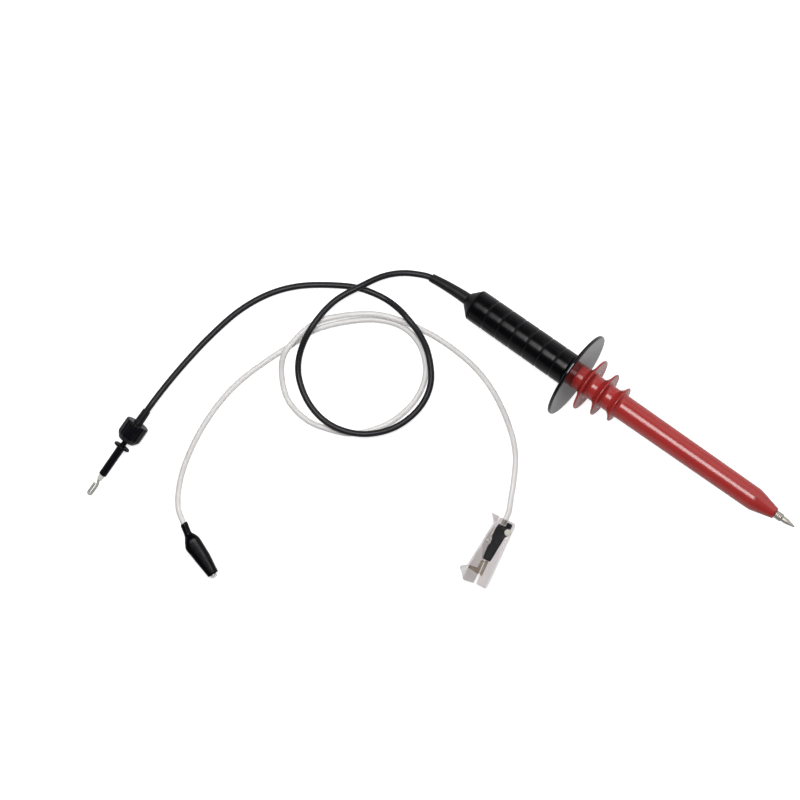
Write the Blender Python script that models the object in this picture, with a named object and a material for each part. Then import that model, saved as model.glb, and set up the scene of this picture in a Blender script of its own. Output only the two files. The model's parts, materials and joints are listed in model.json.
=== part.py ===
# High voltage probe with its signal cable and hook clip, and its ground lead
# with a crocodile clip and a clear test clip. It lies on a table, z = 0.
# The probe's axis is in the XZ plane and its tip points to +X, raised a little:
# it rests on the rim of the guard disc and on the end of its cable sleeve.
# Sizes are in metres.

import math

import bmesh
import bpy
import numpy as np
from mathutils import Matrix, Vector

mm = 0.001

# Clearances
gap = 0.3 * mm
sliding_gap = 0.4 * mm
floor_gap = 0.05 * mm

# Probe. Distances along the axis are from the guard disc's rear face,
# positive towards the tip.
disc_radius = 35.0 * mm
disc_thickness = 2.6 * mm
disc_rounding = 0.6 * mm
disc_seat_depth = 0.4 * mm

handle_length = 100.4 * mm
handle_front_radius = 12.9 * mm
handle_rear_radius = 12.6 * mm
handle_wall = 2.1 * mm
groove_count = 6
groove_first = 0.85
groove_depth = 0.4 * mm
groove_half_width = 0.75 * mm
end_cone_length = 8.0 * mm
end_cone_radius = 5.3 * mm
end_cap_spigot = 6.4 * mm
collar_length = 5.1 * mm
collar_radius = 12.2 * mm
collar_spigot = 7.0 * mm

sleeve_length = 33.0 * mm
sleeve_end_radius = 3.4 * mm
sleeve_front_radius = 4.7 * mm
sleeve_neck_radius = 3.9 * mm
sleeve_flange_radius = 5.8 * mm
sleeve_flange_length = 2.2 * mm
sleeve_bend = 2.2 * mm

insulator_base_radius = 9.7 * mm
insulator_spigot_radius = 7.5 * mm
insulator_bore_radius = 6.0 * mm
tube_rear_radius = 9.4 * mm
tube_front_radius = 8.8 * mm
tube_end = 164.6 * mm
cone_end = 182.8 * mm
cone_end_radius = 4.2 * mm
bore_end = 158.0 * mm
stem_bore_radius = 2.1 * mm
# Each shed: distance of its front edge from the disc, and its radius.
sheds = ((15.4 * mm, 21.6 * mm), (28.6 * mm, 18.2 * mm), (41.6 * mm, 14.7 * mm))
shed_root = 6.6 * mm
shed_edge = 1.7 * mm

nut_length = 5.0 * mm
nut_radius = 10.2 * mm

tip_end = 199.7 * mm
tip_base_radius = 3.1 * mm
tip_shoulder = 188.4 * mm
tip_neck_radius = 2.3 * mm
tip_point_radius = 0.5 * mm
tip_stem_radius = 1.8 * mm
tip_stem_start = 163.0 * mm

resistor_radius = 3.4 * mm
resistor_start = 26.0 * mm
resistor_finish = 148.0 * mm
resistor_cap_wall = 0.6 * mm
resistor_cap_depth = 7.0 * mm
lead_wire_radius = 0.5 * mm
contact_spring_turns = 5
contact_wire_radius = 0.25 * mm

shield_radius = 10.2 * mm
shield_wall = 1.5 * mm
shield_clearance = 2.7 * mm
shield_overhang = 2.1 * mm
board_thickness = 1.6 * mm
board_setback = 8.0 * mm
wiring_room = 5.5 * mm
trimmer_radius = 2.5 * mm
trimmer_length = 4.8 * mm
trimmer_offset = 4.6 * mm
crimp_radius = 4.4 * mm
crimp_length = 5.6 * mm

# Cables
cable_radius = 2.4 * mm
lead_radius = 2.2 * mm

# Hook clip. Distances are along its axis from a point inside the knob,
# positive towards the hook.
knob_radius = 9.5 * mm
knob_rear = -7.0 * mm
knob_edge = 5.5 * mm
knob_front = 9.8 * mm
knob_front_radius = 6.2 * mm
knob_recess = 3.0 * mm
plunger_radius = 2.1 * mm
plunger_end = 24.0 * mm
flange_radius = 6.5 * mm
flange_rear = 14.3 * mm
flange_thickness = 1.5 * mm
barrel_radius = 3.05 * mm
barrel_end = 41.6 * mm
barrel_wall = 3.8 * mm
nose_end = 46.2 * mm
nose_radius = 2.2 * mm
hook_wire_radius = 1.0 * mm
hook_reach = 60.5 * mm
hook_half_width = 1.3 * mm
hook_leg = 8.2 * mm
hook_sleeve_length = 14.5 * mm
hook_sleeve_radius = 3.1 * mm
hook_sleeve_root_radius = 3.4 * mm
hook_spring_turns = 6
hook_spring_wire = 0.25 * mm

# Crocodile clip, lying on its side. Its pin stands upright.
crocodile_half_height = 5.2 * mm
boot_wall = 0.95 * mm
boot_mouth = 20.8 * mm
boot_neck_end = -24.0 * mm
boot_neck_radius = 2.95 * mm
boot_neck_start = -12.0 * mm
boot_neck_lean = 0.19
moving_jaw_half_height = 2.6 * mm
fixed_jaw_half_height = 1.8 * mm
jaw_sheet = 0.5 * mm
jaw_pin_radius = 0.7 * mm
jaw_tip = 23.2 * mm
jaw_tip_height = 2.3 * mm
jaw_middle_height = 3.9 * mm
jaw_tail = -7.8 * mm
jaw_tail_height = 4.1 * mm
jaw_tooth_pitch = 2.4 * mm
jaw_teeth = 5

# Clear test clip, lying on its side. Its pin stands upright.
clip_half_height = 6.0 * mm
clip_plate = 1.2 * mm
clip_core_half_height = 2.6 * mm
clip_pin_radius = 1.0 * mm
clip_pivot = (20.0 * mm, -4.9 * mm)
clip_lead_line = 0.9 * mm

# Where the loose ends lie: x from the guard disc and y, and the clips' turns
hook_clip_spot = (-246.6 * mm, -227.7 * mm)
crocodile_spot = (-153.7 * mm, -273.94 * mm)
crocodile_angle = -22.0
clear_clip_spot = (21.2 * mm, -118.9 * mm)
clear_clip_angle = -79.5


def clear_scene():
    for item in list(bpy.data.objects):
        bpy.data.objects.remove(item, do_unlink=True)


def make_material(name, colour, roughness, metallic=0.0, transmission=0.0, alpha=1.0):
    material = bpy.data.materials.new(name)
    material.use_nodes = True
    shader = material.node_tree.nodes["Principled BSDF"]
    shader.inputs["Base Color"].default_value = (*colour, 1.0)
    shader.inputs["Roughness"].default_value = roughness
    shader.inputs["Metallic"].default_value = metallic
    shader.inputs["Transmission Weight"].default_value = transmission
    shader.inputs["Alpha"].default_value = alpha
    material.diffuse_color = (*colour, alpha)
    return material


def axis_frame(name, place, turn):
    frame = bpy.data.objects.new(name, None)
    bpy.context.scene.collection.objects.link(frame)
    frame.matrix_world = Matrix.Translation(place) @ turn.to_4x4()
    frame.empty_display_size = 5 * mm
    return frame


def finish(name, mesh, material, parent, sharp=35.0):
    bmesh.ops.remove_doubles(mesh, verts=mesh.verts, dist=1e-7)
    bmesh.ops.recalc_face_normals(mesh, faces=mesh.faces)
    data = bpy.data.meshes.new(name)
    mesh.to_mesh(data)
    mesh.free()
    data.shade_smooth()
    data.set_sharp_from_angle(angle=math.radians(sharp))
    data.materials.append(material)
    item = bpy.data.objects.new(name, data)
    bpy.context.scene.collection.objects.link(item)
    item.parent = parent
    return item


# A turned piece: the profile is a list of (distance, radius) along the local
# X axis. It starts and ends on the axis, or is a closed ring around a bore.
def turned(name, profile, material, parent, segments=40, ring=False, centre=(0, 0)):
    mesh = bmesh.new()
    points = [mesh.verts.new((s, 0.0, -r)) for s, r in profile]
    edges = [mesh.edges.new(pair) for pair in zip(points, points[1:])]
    if ring:
        edges.append(mesh.edges.new((points[-1], points[0])))
    bmesh.ops.spin(
        mesh,
        geom=points + edges,
        cent=(0, 0, 0),
        axis=(1, 0, 0),
        angle=2 * math.pi,
        steps=segments,
        use_merge=True,
    )
    bmesh.ops.translate(mesh, verts=mesh.verts, vec=(0, centre[0], centre[1]))
    return finish(name, mesh, material, parent)


# An upright round piece: the profile is a list of (height, radius) along Z.
def upright(name, profile, place, material, parent, segments=24, ring=False):
    piece = turned(name, profile, material, parent, segments, ring)
    turn = Matrix(((0, 0, -1), (0, 1, 0), (1, 0, 0))).to_4x4()
    piece.data.transform(Matrix.Translation((*place, 0)) @ turn)
    return piece


# A flat piece: an outline of (x, y) points raised from low to high.
def prism(name, outline, low, high, material, parent):
    mesh = bmesh.new()
    base = mesh.faces.new([mesh.verts.new((x, y, low)) for x, y in outline])
    raised = bmesh.ops.extrude_face_region(mesh, geom=[base])["geom"]
    lifted = [v for v in raised if isinstance(v, bmesh.types.BMVert)]
    bmesh.ops.translate(mesh, verts=lifted, vec=(0, 0, high - low))
    return finish(name, mesh, material, parent)


# A piece lofted through rounded rectangles: each ring is its distance, half
# width, half height, squareness and sideways shift. The rings go along the
# outside and back along the inside, so the piece is hollow and open.
def lofted(name, rings, material, parent, segments=20):
    mesh = bmesh.new()
    loops = []
    for x, wide, high, square, shift in rings:
        loop = []
        for k in range(segments):
            a = 2 * math.pi * k / segments - math.pi / 2
            c, s = math.cos(a), math.sin(a)
            y = wide * math.copysign(abs(c) ** (2 / square), c) + shift
            z = high * math.copysign(abs(s) ** (2 / square), s)
            loop.append(mesh.verts.new((x, y, z)))
        loops.append(loop)
    for a, b in zip(loops, loops[1:] + loops[:1]):
        for k in range(segments):
            n = (k + 1) % segments
            mesh.faces.new((a[k], a[n], b[n], b[k]))
    return finish(name, mesh, material, parent)


def cut(piece, cutter):
    cutter.hide_render = True
    cutter.display_type = "WIRE"
    step = piece.modifiers.new("cut", "BOOLEAN")
    step.operation = "DIFFERENCE"
    step.solver = "EXACT"
    step.object = cutter


# A hexagonal nut or crimp around a round bore, along the local X axis.
def hexagon(name, start, finish_at, radius, bore, material, parent):
    profile = [(start, 0.0), (start, radius), (finish_at, radius), (finish_at, 0.0)]
    piece = turned(name, profile, material, parent, 6)
    low, high = start - 1.0 * mm, finish_at + 1.0 * mm
    profile = [(low, 0.0), (low, bore), (high, bore), (high, 0.0)]
    cut(piece, turned(name + "_bore", profile, material, parent, 32))
    return piece


# A round wire or cord along a list of points, with closed ends.
def wire(name, points, radius, material, parent=None, resolution=2):
    curve = bpy.data.curves.new(name, "CURVE")
    curve.dimensions = "3D"
    curve.bevel_depth = radius
    curve.bevel_resolution = resolution
    curve.use_fill_caps = True
    line = curve.splines.new("POLY")
    line.points.add(len(points) - 1)
    for spot, place in zip(line.points, points):
        spot.co = (place[0], place[1], place[2], 1.0)
    curve.materials.append(material)
    item = bpy.data.objects.new(name, curve)
    bpy.context.scene.collection.objects.link(item)
    item.parent = parent
    return item


# Points of a coil around the local X axis.
def coil_points(start, length, radius, turns, per_turn=12):
    steps = int(turns * per_turn)
    points = []
    for k in range(steps + 1):
        a = 2 * math.pi * turns * k / steps
        points.append((start + length * k / steps, radius * math.cos(a), radius * math.sin(a)))
    return points


# A smooth curve through the route points (Catmull-Rom on chord lengths), read
# off at equal steps and kept above the floor. The ends keep the directions of
# their last two points.
def smooth_route(route, count, lowest):
    spots = [Vector(p) for p in route]
    first = spots[0] * 2 - spots[1]
    last = spots[-1] * 2 - spots[-2]
    spots = [first] + spots + [last]
    knots = [0.0]
    for a, b in zip(spots, spots[1:]):
        knots.append(knots[-1] + math.sqrt((b - a).length))
    fine = []
    for i in range(1, len(spots) - 2):
        p, t = spots[i - 1 : i + 3], knots[i - 1 : i + 3]
        for k in range(24):
            u = t[1] + (t[2] - t[1]) * k / 24
            a = [p[j].lerp(p[j + 1], (u - t[j]) / (t[j + 1] - t[j])) for j in range(3)]
            b = [a[j].lerp(a[j + 1], (u - t[j]) / (t[j + 2] - t[j])) for j in range(2)]
            fine.append(b[0].lerp(b[1], (u - t[1]) / (t[2] - t[1])))
    fine.append(spots[-2])
    fine = np.array([tuple(p) for p in fine])
    along = np.concatenate(([0.0], np.cumsum(np.linalg.norm(np.diff(fine, axis=0), axis=1))))
    fine[:, 2] = np.maximum(fine[:, 2], lowest)
    steps = np.linspace(0.0, along[-1], count)
    return [tuple(np.interp(s, along, fine[:, j]) for j in range(3)) for s in steps]


clear_scene()

black_plastic = make_material("handle black plastic", (0.012, 0.012, 0.014), 0.3)
gloss_black = make_material("guard gloss black", (0.01, 0.01, 0.012), 0.16)
soft_black = make_material("sleeve black rubber", (0.018, 0.018, 0.02), 0.5)
red_plastic = make_material("insulator red plastic", (0.46, 0.028, 0.025), 0.24)
nickel = make_material("nickel plated brass", (0.62, 0.58, 0.52), 0.28, 1.0)
brass = make_material("brass", (0.72, 0.53, 0.26), 0.32, 1.0)
steel = make_material("spring steel", (0.6, 0.6, 0.6), 0.3, 1.0)
copper = make_material("tinned copper", (0.7, 0.68, 0.64), 0.35, 1.0)
ceramic = make_material("resistor ceramic", (0.05, 0.12, 0.22), 0.45)
epoxy = make_material("potting resin", (0.02, 0.02, 0.022), 0.55)
board_green = make_material("circuit board", (0.03, 0.16, 0.08), 0.5)
ptfe = make_material("trimmer white", (0.75, 0.74, 0.7), 0.5)
cable_sheath = make_material("signal cable sheath", (0.022, 0.022, 0.025), 0.42)
knob_black = make_material("hook clip black plastic", (0.015, 0.015, 0.02), 0.4)
nose_white = make_material("hook clip nose", (0.72, 0.72, 0.68), 0.45)
lead_sheath = make_material("ground lead silicone", (0.66, 0.65, 0.66), 0.35, 0.0, 0.15)
boot_black = make_material("boot black vinyl", (0.02, 0.02, 0.022), 0.45)
clear_plastic = make_material("clear plastic", (0.82, 0.82, 0.82), 0.12, 0.0, 0.85, 0.5)
core_black = make_material("clip core black", (0.01, 0.01, 0.01), 0.5)
button_white = make_material("clip screw white", (0.78, 0.78, 0.74), 0.4)

# The probe's tilt: the disc's rounded rim and the sleeve's end touch the floor.
sleeve_end = -(handle_length + sleeve_length)
rise = disc_radius - disc_rounding - sleeve_end_radius
run = disc_rounding - sleeve_end
tilt = math.atan2(rise, run) + math.asin(disc_rounding / math.hypot(rise, run))
axis_height = -sleeve_end * math.sin(tilt) + sleeve_end_radius * math.cos(tilt)
front_reach = tip_end * math.cos(tilt) + tip_point_radius * math.sin(tilt)
rear_reach = sleeve_end * math.cos(tilt) - sleeve_end_radius * math.sin(tilt)
disc_x = -(front_reach + rear_reach) / 2
probe = axis_frame(
    "probe_axis", (disc_x, 0, axis_height), Matrix.Rotation(-tilt, 3, "Y")
)


def on_probe_axis(s, down=0.0):
    return Vector(
        (
            disc_x + s * math.cos(tilt) + down * math.sin(tilt),
            0.0,
            axis_height + s * math.sin(tilt) - down * math.cos(tilt),
        )
    )


# Handle
collar_front = disc_seat_depth - gap
collar_rear = collar_front - collar_length
shell_front = collar_rear - gap
shell_rear = -(handle_length - end_cone_length) + gap
shell_bore = handle_rear_radius - handle_wall
spigot_radius = shell_bore - gap


def handle_radius(s):
    part = (s - shell_rear) / (shell_front - shell_rear)
    return handle_rear_radius + (handle_front_radius - handle_rear_radius) * part


# The first groove is nearer the front end than the last is to the rear end
groove_pitch = (shell_front - shell_rear) / (groove_count + 0.9)
profile = [(shell_rear, shell_bore), (shell_rear, handle_radius(shell_rear))]
for k in reversed(range(groove_count)):
    s = shell_front - groove_pitch * (k + groove_first)
    w, d = groove_half_width, groove_depth
    for place, depth in ((-w, 0), (0, d), (w, 0)):
        profile.append((s + place, handle_radius(s + place) - depth))
profile += [
    (shell_front - 0.5 * mm, handle_radius(shell_front)),
    (shell_front, handle_radius(shell_front) - 0.4 * mm),
    (shell_front, shell_bore),
]
turned("handle_shell", profile, black_plastic, probe, 28, ring=True)

cap_shoulder = shell_rear - gap
neck_bore = sleeve_neck_radius + gap
flange_rear_face = cap_shoulder + 2.6 * mm
flange_bore = sleeve_flange_radius + gap
profile = [
    (-handle_length, neck_bore),
    (-handle_length, end_cone_radius),
    (cap_shoulder - 0.7 * mm, handle_rear_radius - 0.3 * mm),
    (cap_shoulder, handle_rear_radius),
    (cap_shoulder, spigot_radius),
    (cap_shoulder + end_cap_spigot, spigot_radius),
    (cap_shoulder + end_cap_spigot, flange_bore),
    (flange_rear_face, flange_bore),
    (flange_rear_face, neck_bore),
]
turned("handle_end_cap", profile, black_plastic, probe, 28, ring=True)



# The soft sleeve is bent a little to one side by its cable
def sleeve_shift(s):
    part = max(-handle_length - s, 0.0) / sleeve_length
    return -sleeve_bend * part * part


def in_sleeve(s):
    return on_probe_axis(s) + Vector((0, sleeve_shift(s), 0))


# Strain relief sleeve: a plain taper outside, a neck through the cap and a
# flange that holds it inside.
cable_bore = cable_radius + gap
flange_start = flange_rear_face + gap
flange_front = flange_start + sleeve_flange_length
sleeve_front = -handle_length - gap
taper = np.linspace(sleeve_end, sleeve_front, 5)
profile = [(s, r) for s, r in zip(taper, np.linspace(sleeve_end_radius, sleeve_front_radius, 5))]
profile += [
    (sleeve_front, sleeve_neck_radius),
    (flange_start, sleeve_neck_radius),
    (flange_start, sleeve_flange_radius),
    (flange_front, sleeve_flange_radius),
    (flange_front, cable_bore),
]
profile += [(s, cable_bore) for s in reversed(taper)]
rings = [(s, r, r, 2.0, sleeve_shift(s)) for s, r in profile]
lofted("strain_relief_sleeve", rings, soft_black, probe)

crimp_start = flange_front + gap
crimp_finish = crimp_start + crimp_length
hexagon("cable_crimp", crimp_start, crimp_finish, crimp_radius, cable_bore, brass, probe)

# Collar that joins the handle to the guard disc
thread_bore = insulator_spigot_radius + gap
profile = [
    (collar_rear - collar_spigot, thread_bore),
    (collar_rear - collar_spigot, spigot_radius),
    (collar_rear, spigot_radius),
    (collar_rear, collar_radius - 0.4 * mm),
    (collar_rear + 0.4 * mm, collar_radius),
    (collar_front - 0.4 * mm, collar_radius),
    (collar_front, collar_radius - 0.4 * mm),
    (collar_front, thread_bore),
]
turned("guard_collar", profile, black_plastic, probe, 28, ring=True)

# Guard disc. The collar and the insulator's base each sit in a shallow recess,
# and the flat face around it is free to bear on a panel or on a hand.
rim = []
for k in range(3):
    a = math.pi / 2 * k / 2
    rim.append((disc_rounding * (1 - math.cos(a)), disc_rounding * math.sin(a)))
rear_recess = collar_radius + gap
front_recess = insulator_base_radius + gap
profile = [
    (disc_seat_depth, thread_bore),
    (disc_seat_depth, rear_recess),
    (0.0, rear_recess),
]
for s, r in rim:
    profile.append((s, disc_radius - disc_rounding + r))
for s, r in reversed(rim):
    profile.append((disc_thickness - s, disc_radius - disc_rounding + r))
profile += [
    (disc_thickness, front_recess),
    (disc_thickness - disc_seat_depth, front_recess),
    (disc_thickness - disc_seat_depth, thread_bore),
]
turned("guard_disc", profile, gloss_black, probe, 48, ring=True)

# Insulator: a spigot through the disc, a base, three sheds, a long tube and a
# cone, hollow for the divider
base = disc_thickness - disc_seat_depth + gap
nut_front = collar_rear - collar_spigot - gap
spigot_rear = nut_front - nut_length - 2.0 * mm


def tube_radius(s):
    return insulator_base_radius + (tube_front_radius - insulator_base_radius) * (
        (s - base) / (tube_end - base)
    )


profile = [
    (spigot_rear, insulator_bore_radius),
    (spigot_rear, insulator_spigot_radius),
    (base, insulator_spigot_radius),
    (base, insulator_base_radius),
]
for front, radius in sheds:
    root = front - shed_root
    profile += [
        (root, tube_radius(root)),
        (root + 1.3 * mm, tube_radius(root) + 0.6 * mm),
        (front - shed_edge - 1.7 * mm, tube_radius(root) + 0.5 * (radius - tube_radius(root))),
        (front - shed_edge, radius - 0.7 * mm),
        (front - 0.6 * shed_edge, radius),
        (front, radius - 0.6 * mm),
        (front - 0.5 * mm, tube_radius(front) + 2.0 * mm),
        (front + 0.1 * mm, tube_radius(front) + 0.6 * mm),
        (front + 1.2 * mm, tube_radius(front)),
    ]
profile += [
    (tube_end - 1.0 * mm, tube_radius(tube_end)),
    (tube_end + 0.6 * mm, tube_radius(tube_end) - 0.3 * mm),
    (cone_end - 0.6 * mm, cone_end_radius + 0.15 * mm),
    (cone_end, cone_end_radius - 0.4 * mm),
    (cone_end, stem_bore_radius),
    (bore_end, stem_bore_radius),
    (bore_end, insulator_bore_radius),
]
turned("insulator", profile, red_plastic, probe, 28, ring=True)

hexagon("insulator_nut", nut_front - nut_length, nut_front, nut_radius, thread_bore, brass, probe)

# Metal tip with its stem
profile = [
    (tip_stem_start, 0.0),
    (tip_stem_start, tip_stem_radius),
    (cone_end + gap, tip_stem_radius),
    (cone_end + gap, tip_base_radius - 0.2 * mm),
    (cone_end + gap + 0.3 * mm, tip_base_radius),
    (tip_shoulder - 0.5 * mm, tip_base_radius),
    (tip_shoulder, tip_neck_radius + 0.2 * mm),
    (tip_shoulder + 0.5 * mm, tip_neck_radius),
    (tip_shoulder + 4.5 * mm, tip_neck_radius - 0.15 * mm),
    (tip_end - 0.6 * mm, tip_point_radius + 0.25 * mm),
    (tip_end, tip_point_radius),
    (tip_end, 0.0),
]
turned("probe_tip", profile, nickel, probe, 24)

# Divider resistor with its two metal end caps, and the spring to the tip
profile = [
    (resistor_start, 0.0),
    (resistor_start, resistor_radius),
    (resistor_finish, resistor_radius),
    (resistor_finish, 0.0),
]
turned("divider_resistor", profile, ceramic, probe, 20)
cap_bore = resistor_radius + gap
cap_radius = cap_bore + resistor_cap_wall
for name, end, way in (
    ("resistor_rear_cap", resistor_start, 1),
    ("resistor_front_cap", resistor_finish, -1),
):
    outer = end - way * (gap + 1.0 * mm)
    mouth = end + way * resistor_cap_depth
    profile = [
        (outer, 0.0),
        (outer, cap_radius - 0.4 * mm),
        (outer + way * 0.4 * mm, cap_radius),
        (mouth, cap_radius),
        (mouth, cap_bore),
        (end - way * gap, cap_bore),
        (end - way * gap, 0.0),
    ]
    turned(name, profile, nickel, probe, 20)

spring_start = resistor_finish + gap + 1.0 * mm + gap + contact_wire_radius
spring_finish = tip_stem_start - gap - contact_wire_radius
points = coil_points(
    spring_start,
    spring_finish - spring_start,
    tip_stem_radius - contact_wire_radius,
    contact_spring_turns,
    8,
)
wire("contact_spring", points, contact_wire_radius, steel, probe, 0)

# Inside the handle: brass shield, potted network, round board and trimmer.
# They fill the room between the cable crimp and the insulator's spigot.
shield_front = spigot_rear - shield_clearance
board_front = shield_front - board_setback
potting_front = board_front - board_thickness - gap
potting_rear = crimp_finish + wiring_room
shield_rear = potting_rear - shield_overhang
shield_bore = shield_radius - shield_wall
profile = [
    (shield_rear, shield_bore),
    (shield_rear, shield_radius),
    (shield_front, shield_radius),
    (shield_front, shield_bore),
]
turned("shield_tube", profile, brass, probe, 24, ring=True)

board_radius = shield_bore - gap
wire_bore = lead_wire_radius + gap
profile = [
    (board_front - board_thickness, wire_bore),
    (board_front - board_thickness, board_radius),
    (board_front, board_radius),
    (board_front, wire_bore),
]
turned("network_board", profile, board_green, probe, 24, ring=True)

profile = [
    (potting_rear, 0.0),
    (potting_rear, board_radius - 0.5 * mm),
    (potting_rear + 0.5 * mm, board_radius),
    (potting_front, board_radius),
    (potting_front, 0.0),
]
turned("network_potting", profile, epoxy, probe, 24)

trimmer_rear = board_front + gap
profile = [
    (trimmer_rear, 0.0),
    (trimmer_rear, trimmer_radius),
    (trimmer_rear + trimmer_length, trimmer_radius),
    (trimmer_rear + trimmer_length, 0.9 * mm),
    (trimmer_rear + trimmer_length - 0.8 * mm, 0.9 * mm),
    (trimmer_rear + trimmer_length - 0.8 * mm, 0.0),
]
turned("trimmer_capacitor", profile, ptfe, probe, 16, centre=(0, trimmer_offset))

lead_from = potting_front + gap
lead_to = resistor_start - gap - 1.0 * mm - gap
profile = [
    (lead_from, 0.0),
    (lead_from, lead_wire_radius),
    (lead_to, lead_wire_radius),
    (lead_to, 0.0),
]
turned("divider_lead_wire", profile, copper, probe, 10)

# Hook clip: it rests on the edge of its knob and on its hook
hook_tilt = math.atan2(knob_radius - hook_wire_radius, hook_reach - knob_edge)
hook_height = knob_edge * math.sin(hook_tilt) + knob_radius * math.cos(hook_tilt)
hook_place = Vector((disc_x + hook_clip_spot[0], hook_clip_spot[1], hook_height))
hook_turn = Matrix(
    (
        (0, 1, 0),
        (-math.cos(hook_tilt), 0, math.sin(hook_tilt)),
        (-math.sin(hook_tilt), 0, -math.cos(hook_tilt)),
    )
)
hook_clip = axis_frame("hook_clip_axis", hook_place, hook_turn)


def on_hook_axis(s):
    return hook_place + hook_turn @ Vector((s, 0, 0))


recess_floor = knob_rear + knob_recess
recess_radius = hook_sleeve_root_radius + gap
stem_bore = hook_wire_radius + gap
stem_start = knob_rear + knob_recess + 7.0 * mm
profile = [
    (recess_floor, 0.0),
    (recess_floor, recess_radius),
    (knob_rear, recess_radius),
    (knob_rear, knob_radius - 0.6 * mm),
    (knob_rear + 0.6 * mm, knob_radius),
    (knob_edge, knob_radius),
    (knob_front, knob_front_radius),
    (knob_front, plunger_radius),
    (plunger_end, plunger_radius),
    (plunger_end, stem_bore),
    (stem_start, stem_bore),
    (stem_start, 0.0),
]
turned("hook_clip_knob", profile, knob_black, hook_clip, 28)

sleeve_start = recess_floor - gap
profile = [
    (sleeve_start, cable_bore),
    (sleeve_start, hook_sleeve_root_radius),
    (knob_rear - 1.0 * mm, hook_sleeve_root_radius),
    (sleeve_start - hook_sleeve_length, hook_sleeve_radius),
    (sleeve_start - hook_sleeve_length, cable_bore),
]
turned("hook_cable_sleeve", list(reversed(profile)), soft_black, hook_clip, 24, ring=True)

barrel_bore = plunger_radius + sliding_gap
barrel_inner_end = barrel_end - barrel_wall
barrel_slide = axis_frame("hook_barrel_slide", hook_place, hook_turn)
profile = [
    (flange_rear, barrel_bore),
    (flange_rear, flange_radius - 0.3 * mm),
    (flange_rear + 0.3 * mm, flange_radius),
    (flange_rear + flange_thickness - 0.3 * mm, flange_radius),
    (flange_rear + flange_thickness, flange_radius - 0.3 * mm),
    (flange_rear + flange_thickness, barrel_radius),
    (barrel_end - 0.4 * mm, barrel_radius),
    (barrel_end, barrel_radius - 0.3 * mm),
    (barrel_end, stem_bore),
    (barrel_inner_end, stem_bore),
    (barrel_inner_end, barrel_bore),
]
turned("hook_clip_barrel", profile, knob_black, barrel_slide, 24, ring=True)

profile = [
    (barrel_end + gap, stem_bore),
    (barrel_end + gap, nose_radius),
    (nose_end - 1.2 * mm, nose_radius - 0.15 * mm),
    (nose_end, nose_radius - 0.6 * mm),
    (nose_end, stem_bore),
]
turned("hook_clip_nose", profile, nose_white, barrel_slide, 20, ring=True)

# The stem runs through the barrel and bends into the hook
bend = hook_half_width
points = [(stem_start + gap, 0, 0), (nose_end + 0.8 * mm, 0, 0), (nose_end + 2.6 * mm, 0.6 * bend, 0)]
points.append((nose_end + 4.4 * mm, bend, 0))
turn_centre = hook_reach - hook_wire_radius - bend
for k in range(9):
    a = math.pi / 2 - math.pi * k / 8
    points.append((turn_centre + bend * math.cos(a), bend * math.sin(a), 0))
points.append((turn_centre - hook_leg, -bend, 0))
wire("hook_clip_hook", points, hook_wire_radius, nickel, hook_clip, 2)

spring_start = plunger_end + gap + hook_spring_wire
spring_finish = barrel_inner_end - gap - hook_spring_wire
points = coil_points(
    spring_start,
    spring_finish - spring_start,
    barrel_bore - gap - hook_spring_wire,
    hook_spring_turns,
    8,
)
wire("hook_clip_spring", points, hook_spring_wire, steel, hook_clip, 0)

# Crocodile clip
crocodile_turn = math.radians(crocodile_angle)
forward = Vector((math.cos(crocodile_turn), math.sin(crocodile_turn), 0))
sideways = Vector((-math.sin(crocodile_turn), math.cos(crocodile_turn), 0))
crocodile_place = Vector((disc_x + crocodile_spot[0], crocodile_spot[1], crocodile_half_height))
crocodile_matrix = Matrix.Rotation(crocodile_turn, 3, "Z")
crocodile = axis_frame("crocodile_axis", crocodile_place, crocodile_matrix)
jaw_hinge = axis_frame("crocodile_jaw_hinge", crocodile_place, crocodile_matrix)


# The boot's neck leans a little to one side on its way back, and the lead
# comes out of it at that slant.
def neck_shift(s):
    return boot_neck_lean * max(boot_neck_start - s, 0.0)


def in_crocodile_neck(s):
    return crocodile_place + forward * s + sideways * neck_shift(s)


h = crocodile_half_height
w = boot_wall
neck_bore = lead_radius + gap
neck = boot_neck_radius
neck_middle = boot_neck_start - 3.0 * mm
outer = [
    (boot_neck_end, neck - 0.2 * mm, neck - 0.2 * mm, 2.0, neck_shift(boot_neck_end)),
    (boot_neck_end + 1.0 * mm, neck, neck, 2.0, neck_shift(boot_neck_end + 1.0 * mm)),
    (neck_middle, neck + 0.1 * mm, neck + 0.1 * mm, 2.0, neck_shift(neck_middle)),
    (-12.8 * mm, 4.4 * mm, 4.0 * mm, 2.4, 0.6 * mm),
    (-10.6 * mm, 5.5 * mm, h - 0.3 * mm, 3.0, 0.4 * mm),
    (-8.3 * mm, 6.35 * mm, h, 3.2, 0.15 * mm),
    (-6.6 * mm, 6.75 * mm, h, 3.4, -0.25 * mm),
    (6.0 * mm, 6.0 * mm, h, 3.4, 0.3 * mm),
    (boot_mouth - 1.0 * mm, 4.4 * mm, h, 3.4, 0.4 * mm),
    (boot_mouth, 4.15 * mm, h - 0.25 * mm, 3.4, 0.4 * mm),
]
inner = [
    (boot_mouth, 4.15 * mm - w, h - w - 0.1 * mm, 3.4, 0.4 * mm),
    (6.0 * mm, 6.0 * mm - w, h - w, 3.4, 0.3 * mm),
    (-6.6 * mm, 6.75 * mm - w, h - w, 3.4, -0.25 * mm),
    (-9.4 * mm, 4.6 * mm, 3.7 * mm, 2.6, 0.2 * mm),
    (-12.4 * mm, neck_bore, neck_bore, 2.0, neck_shift(-12.4 * mm)),
    (neck_middle, neck_bore, neck_bore, 2.0, neck_shift(neck_middle)),
    (boot_neck_end, neck_bore, neck_bore, 2.0, neck_shift(boot_neck_end)),
]
lofted("crocodile_boot", outer + inner, boot_black, crocodile)


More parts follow.
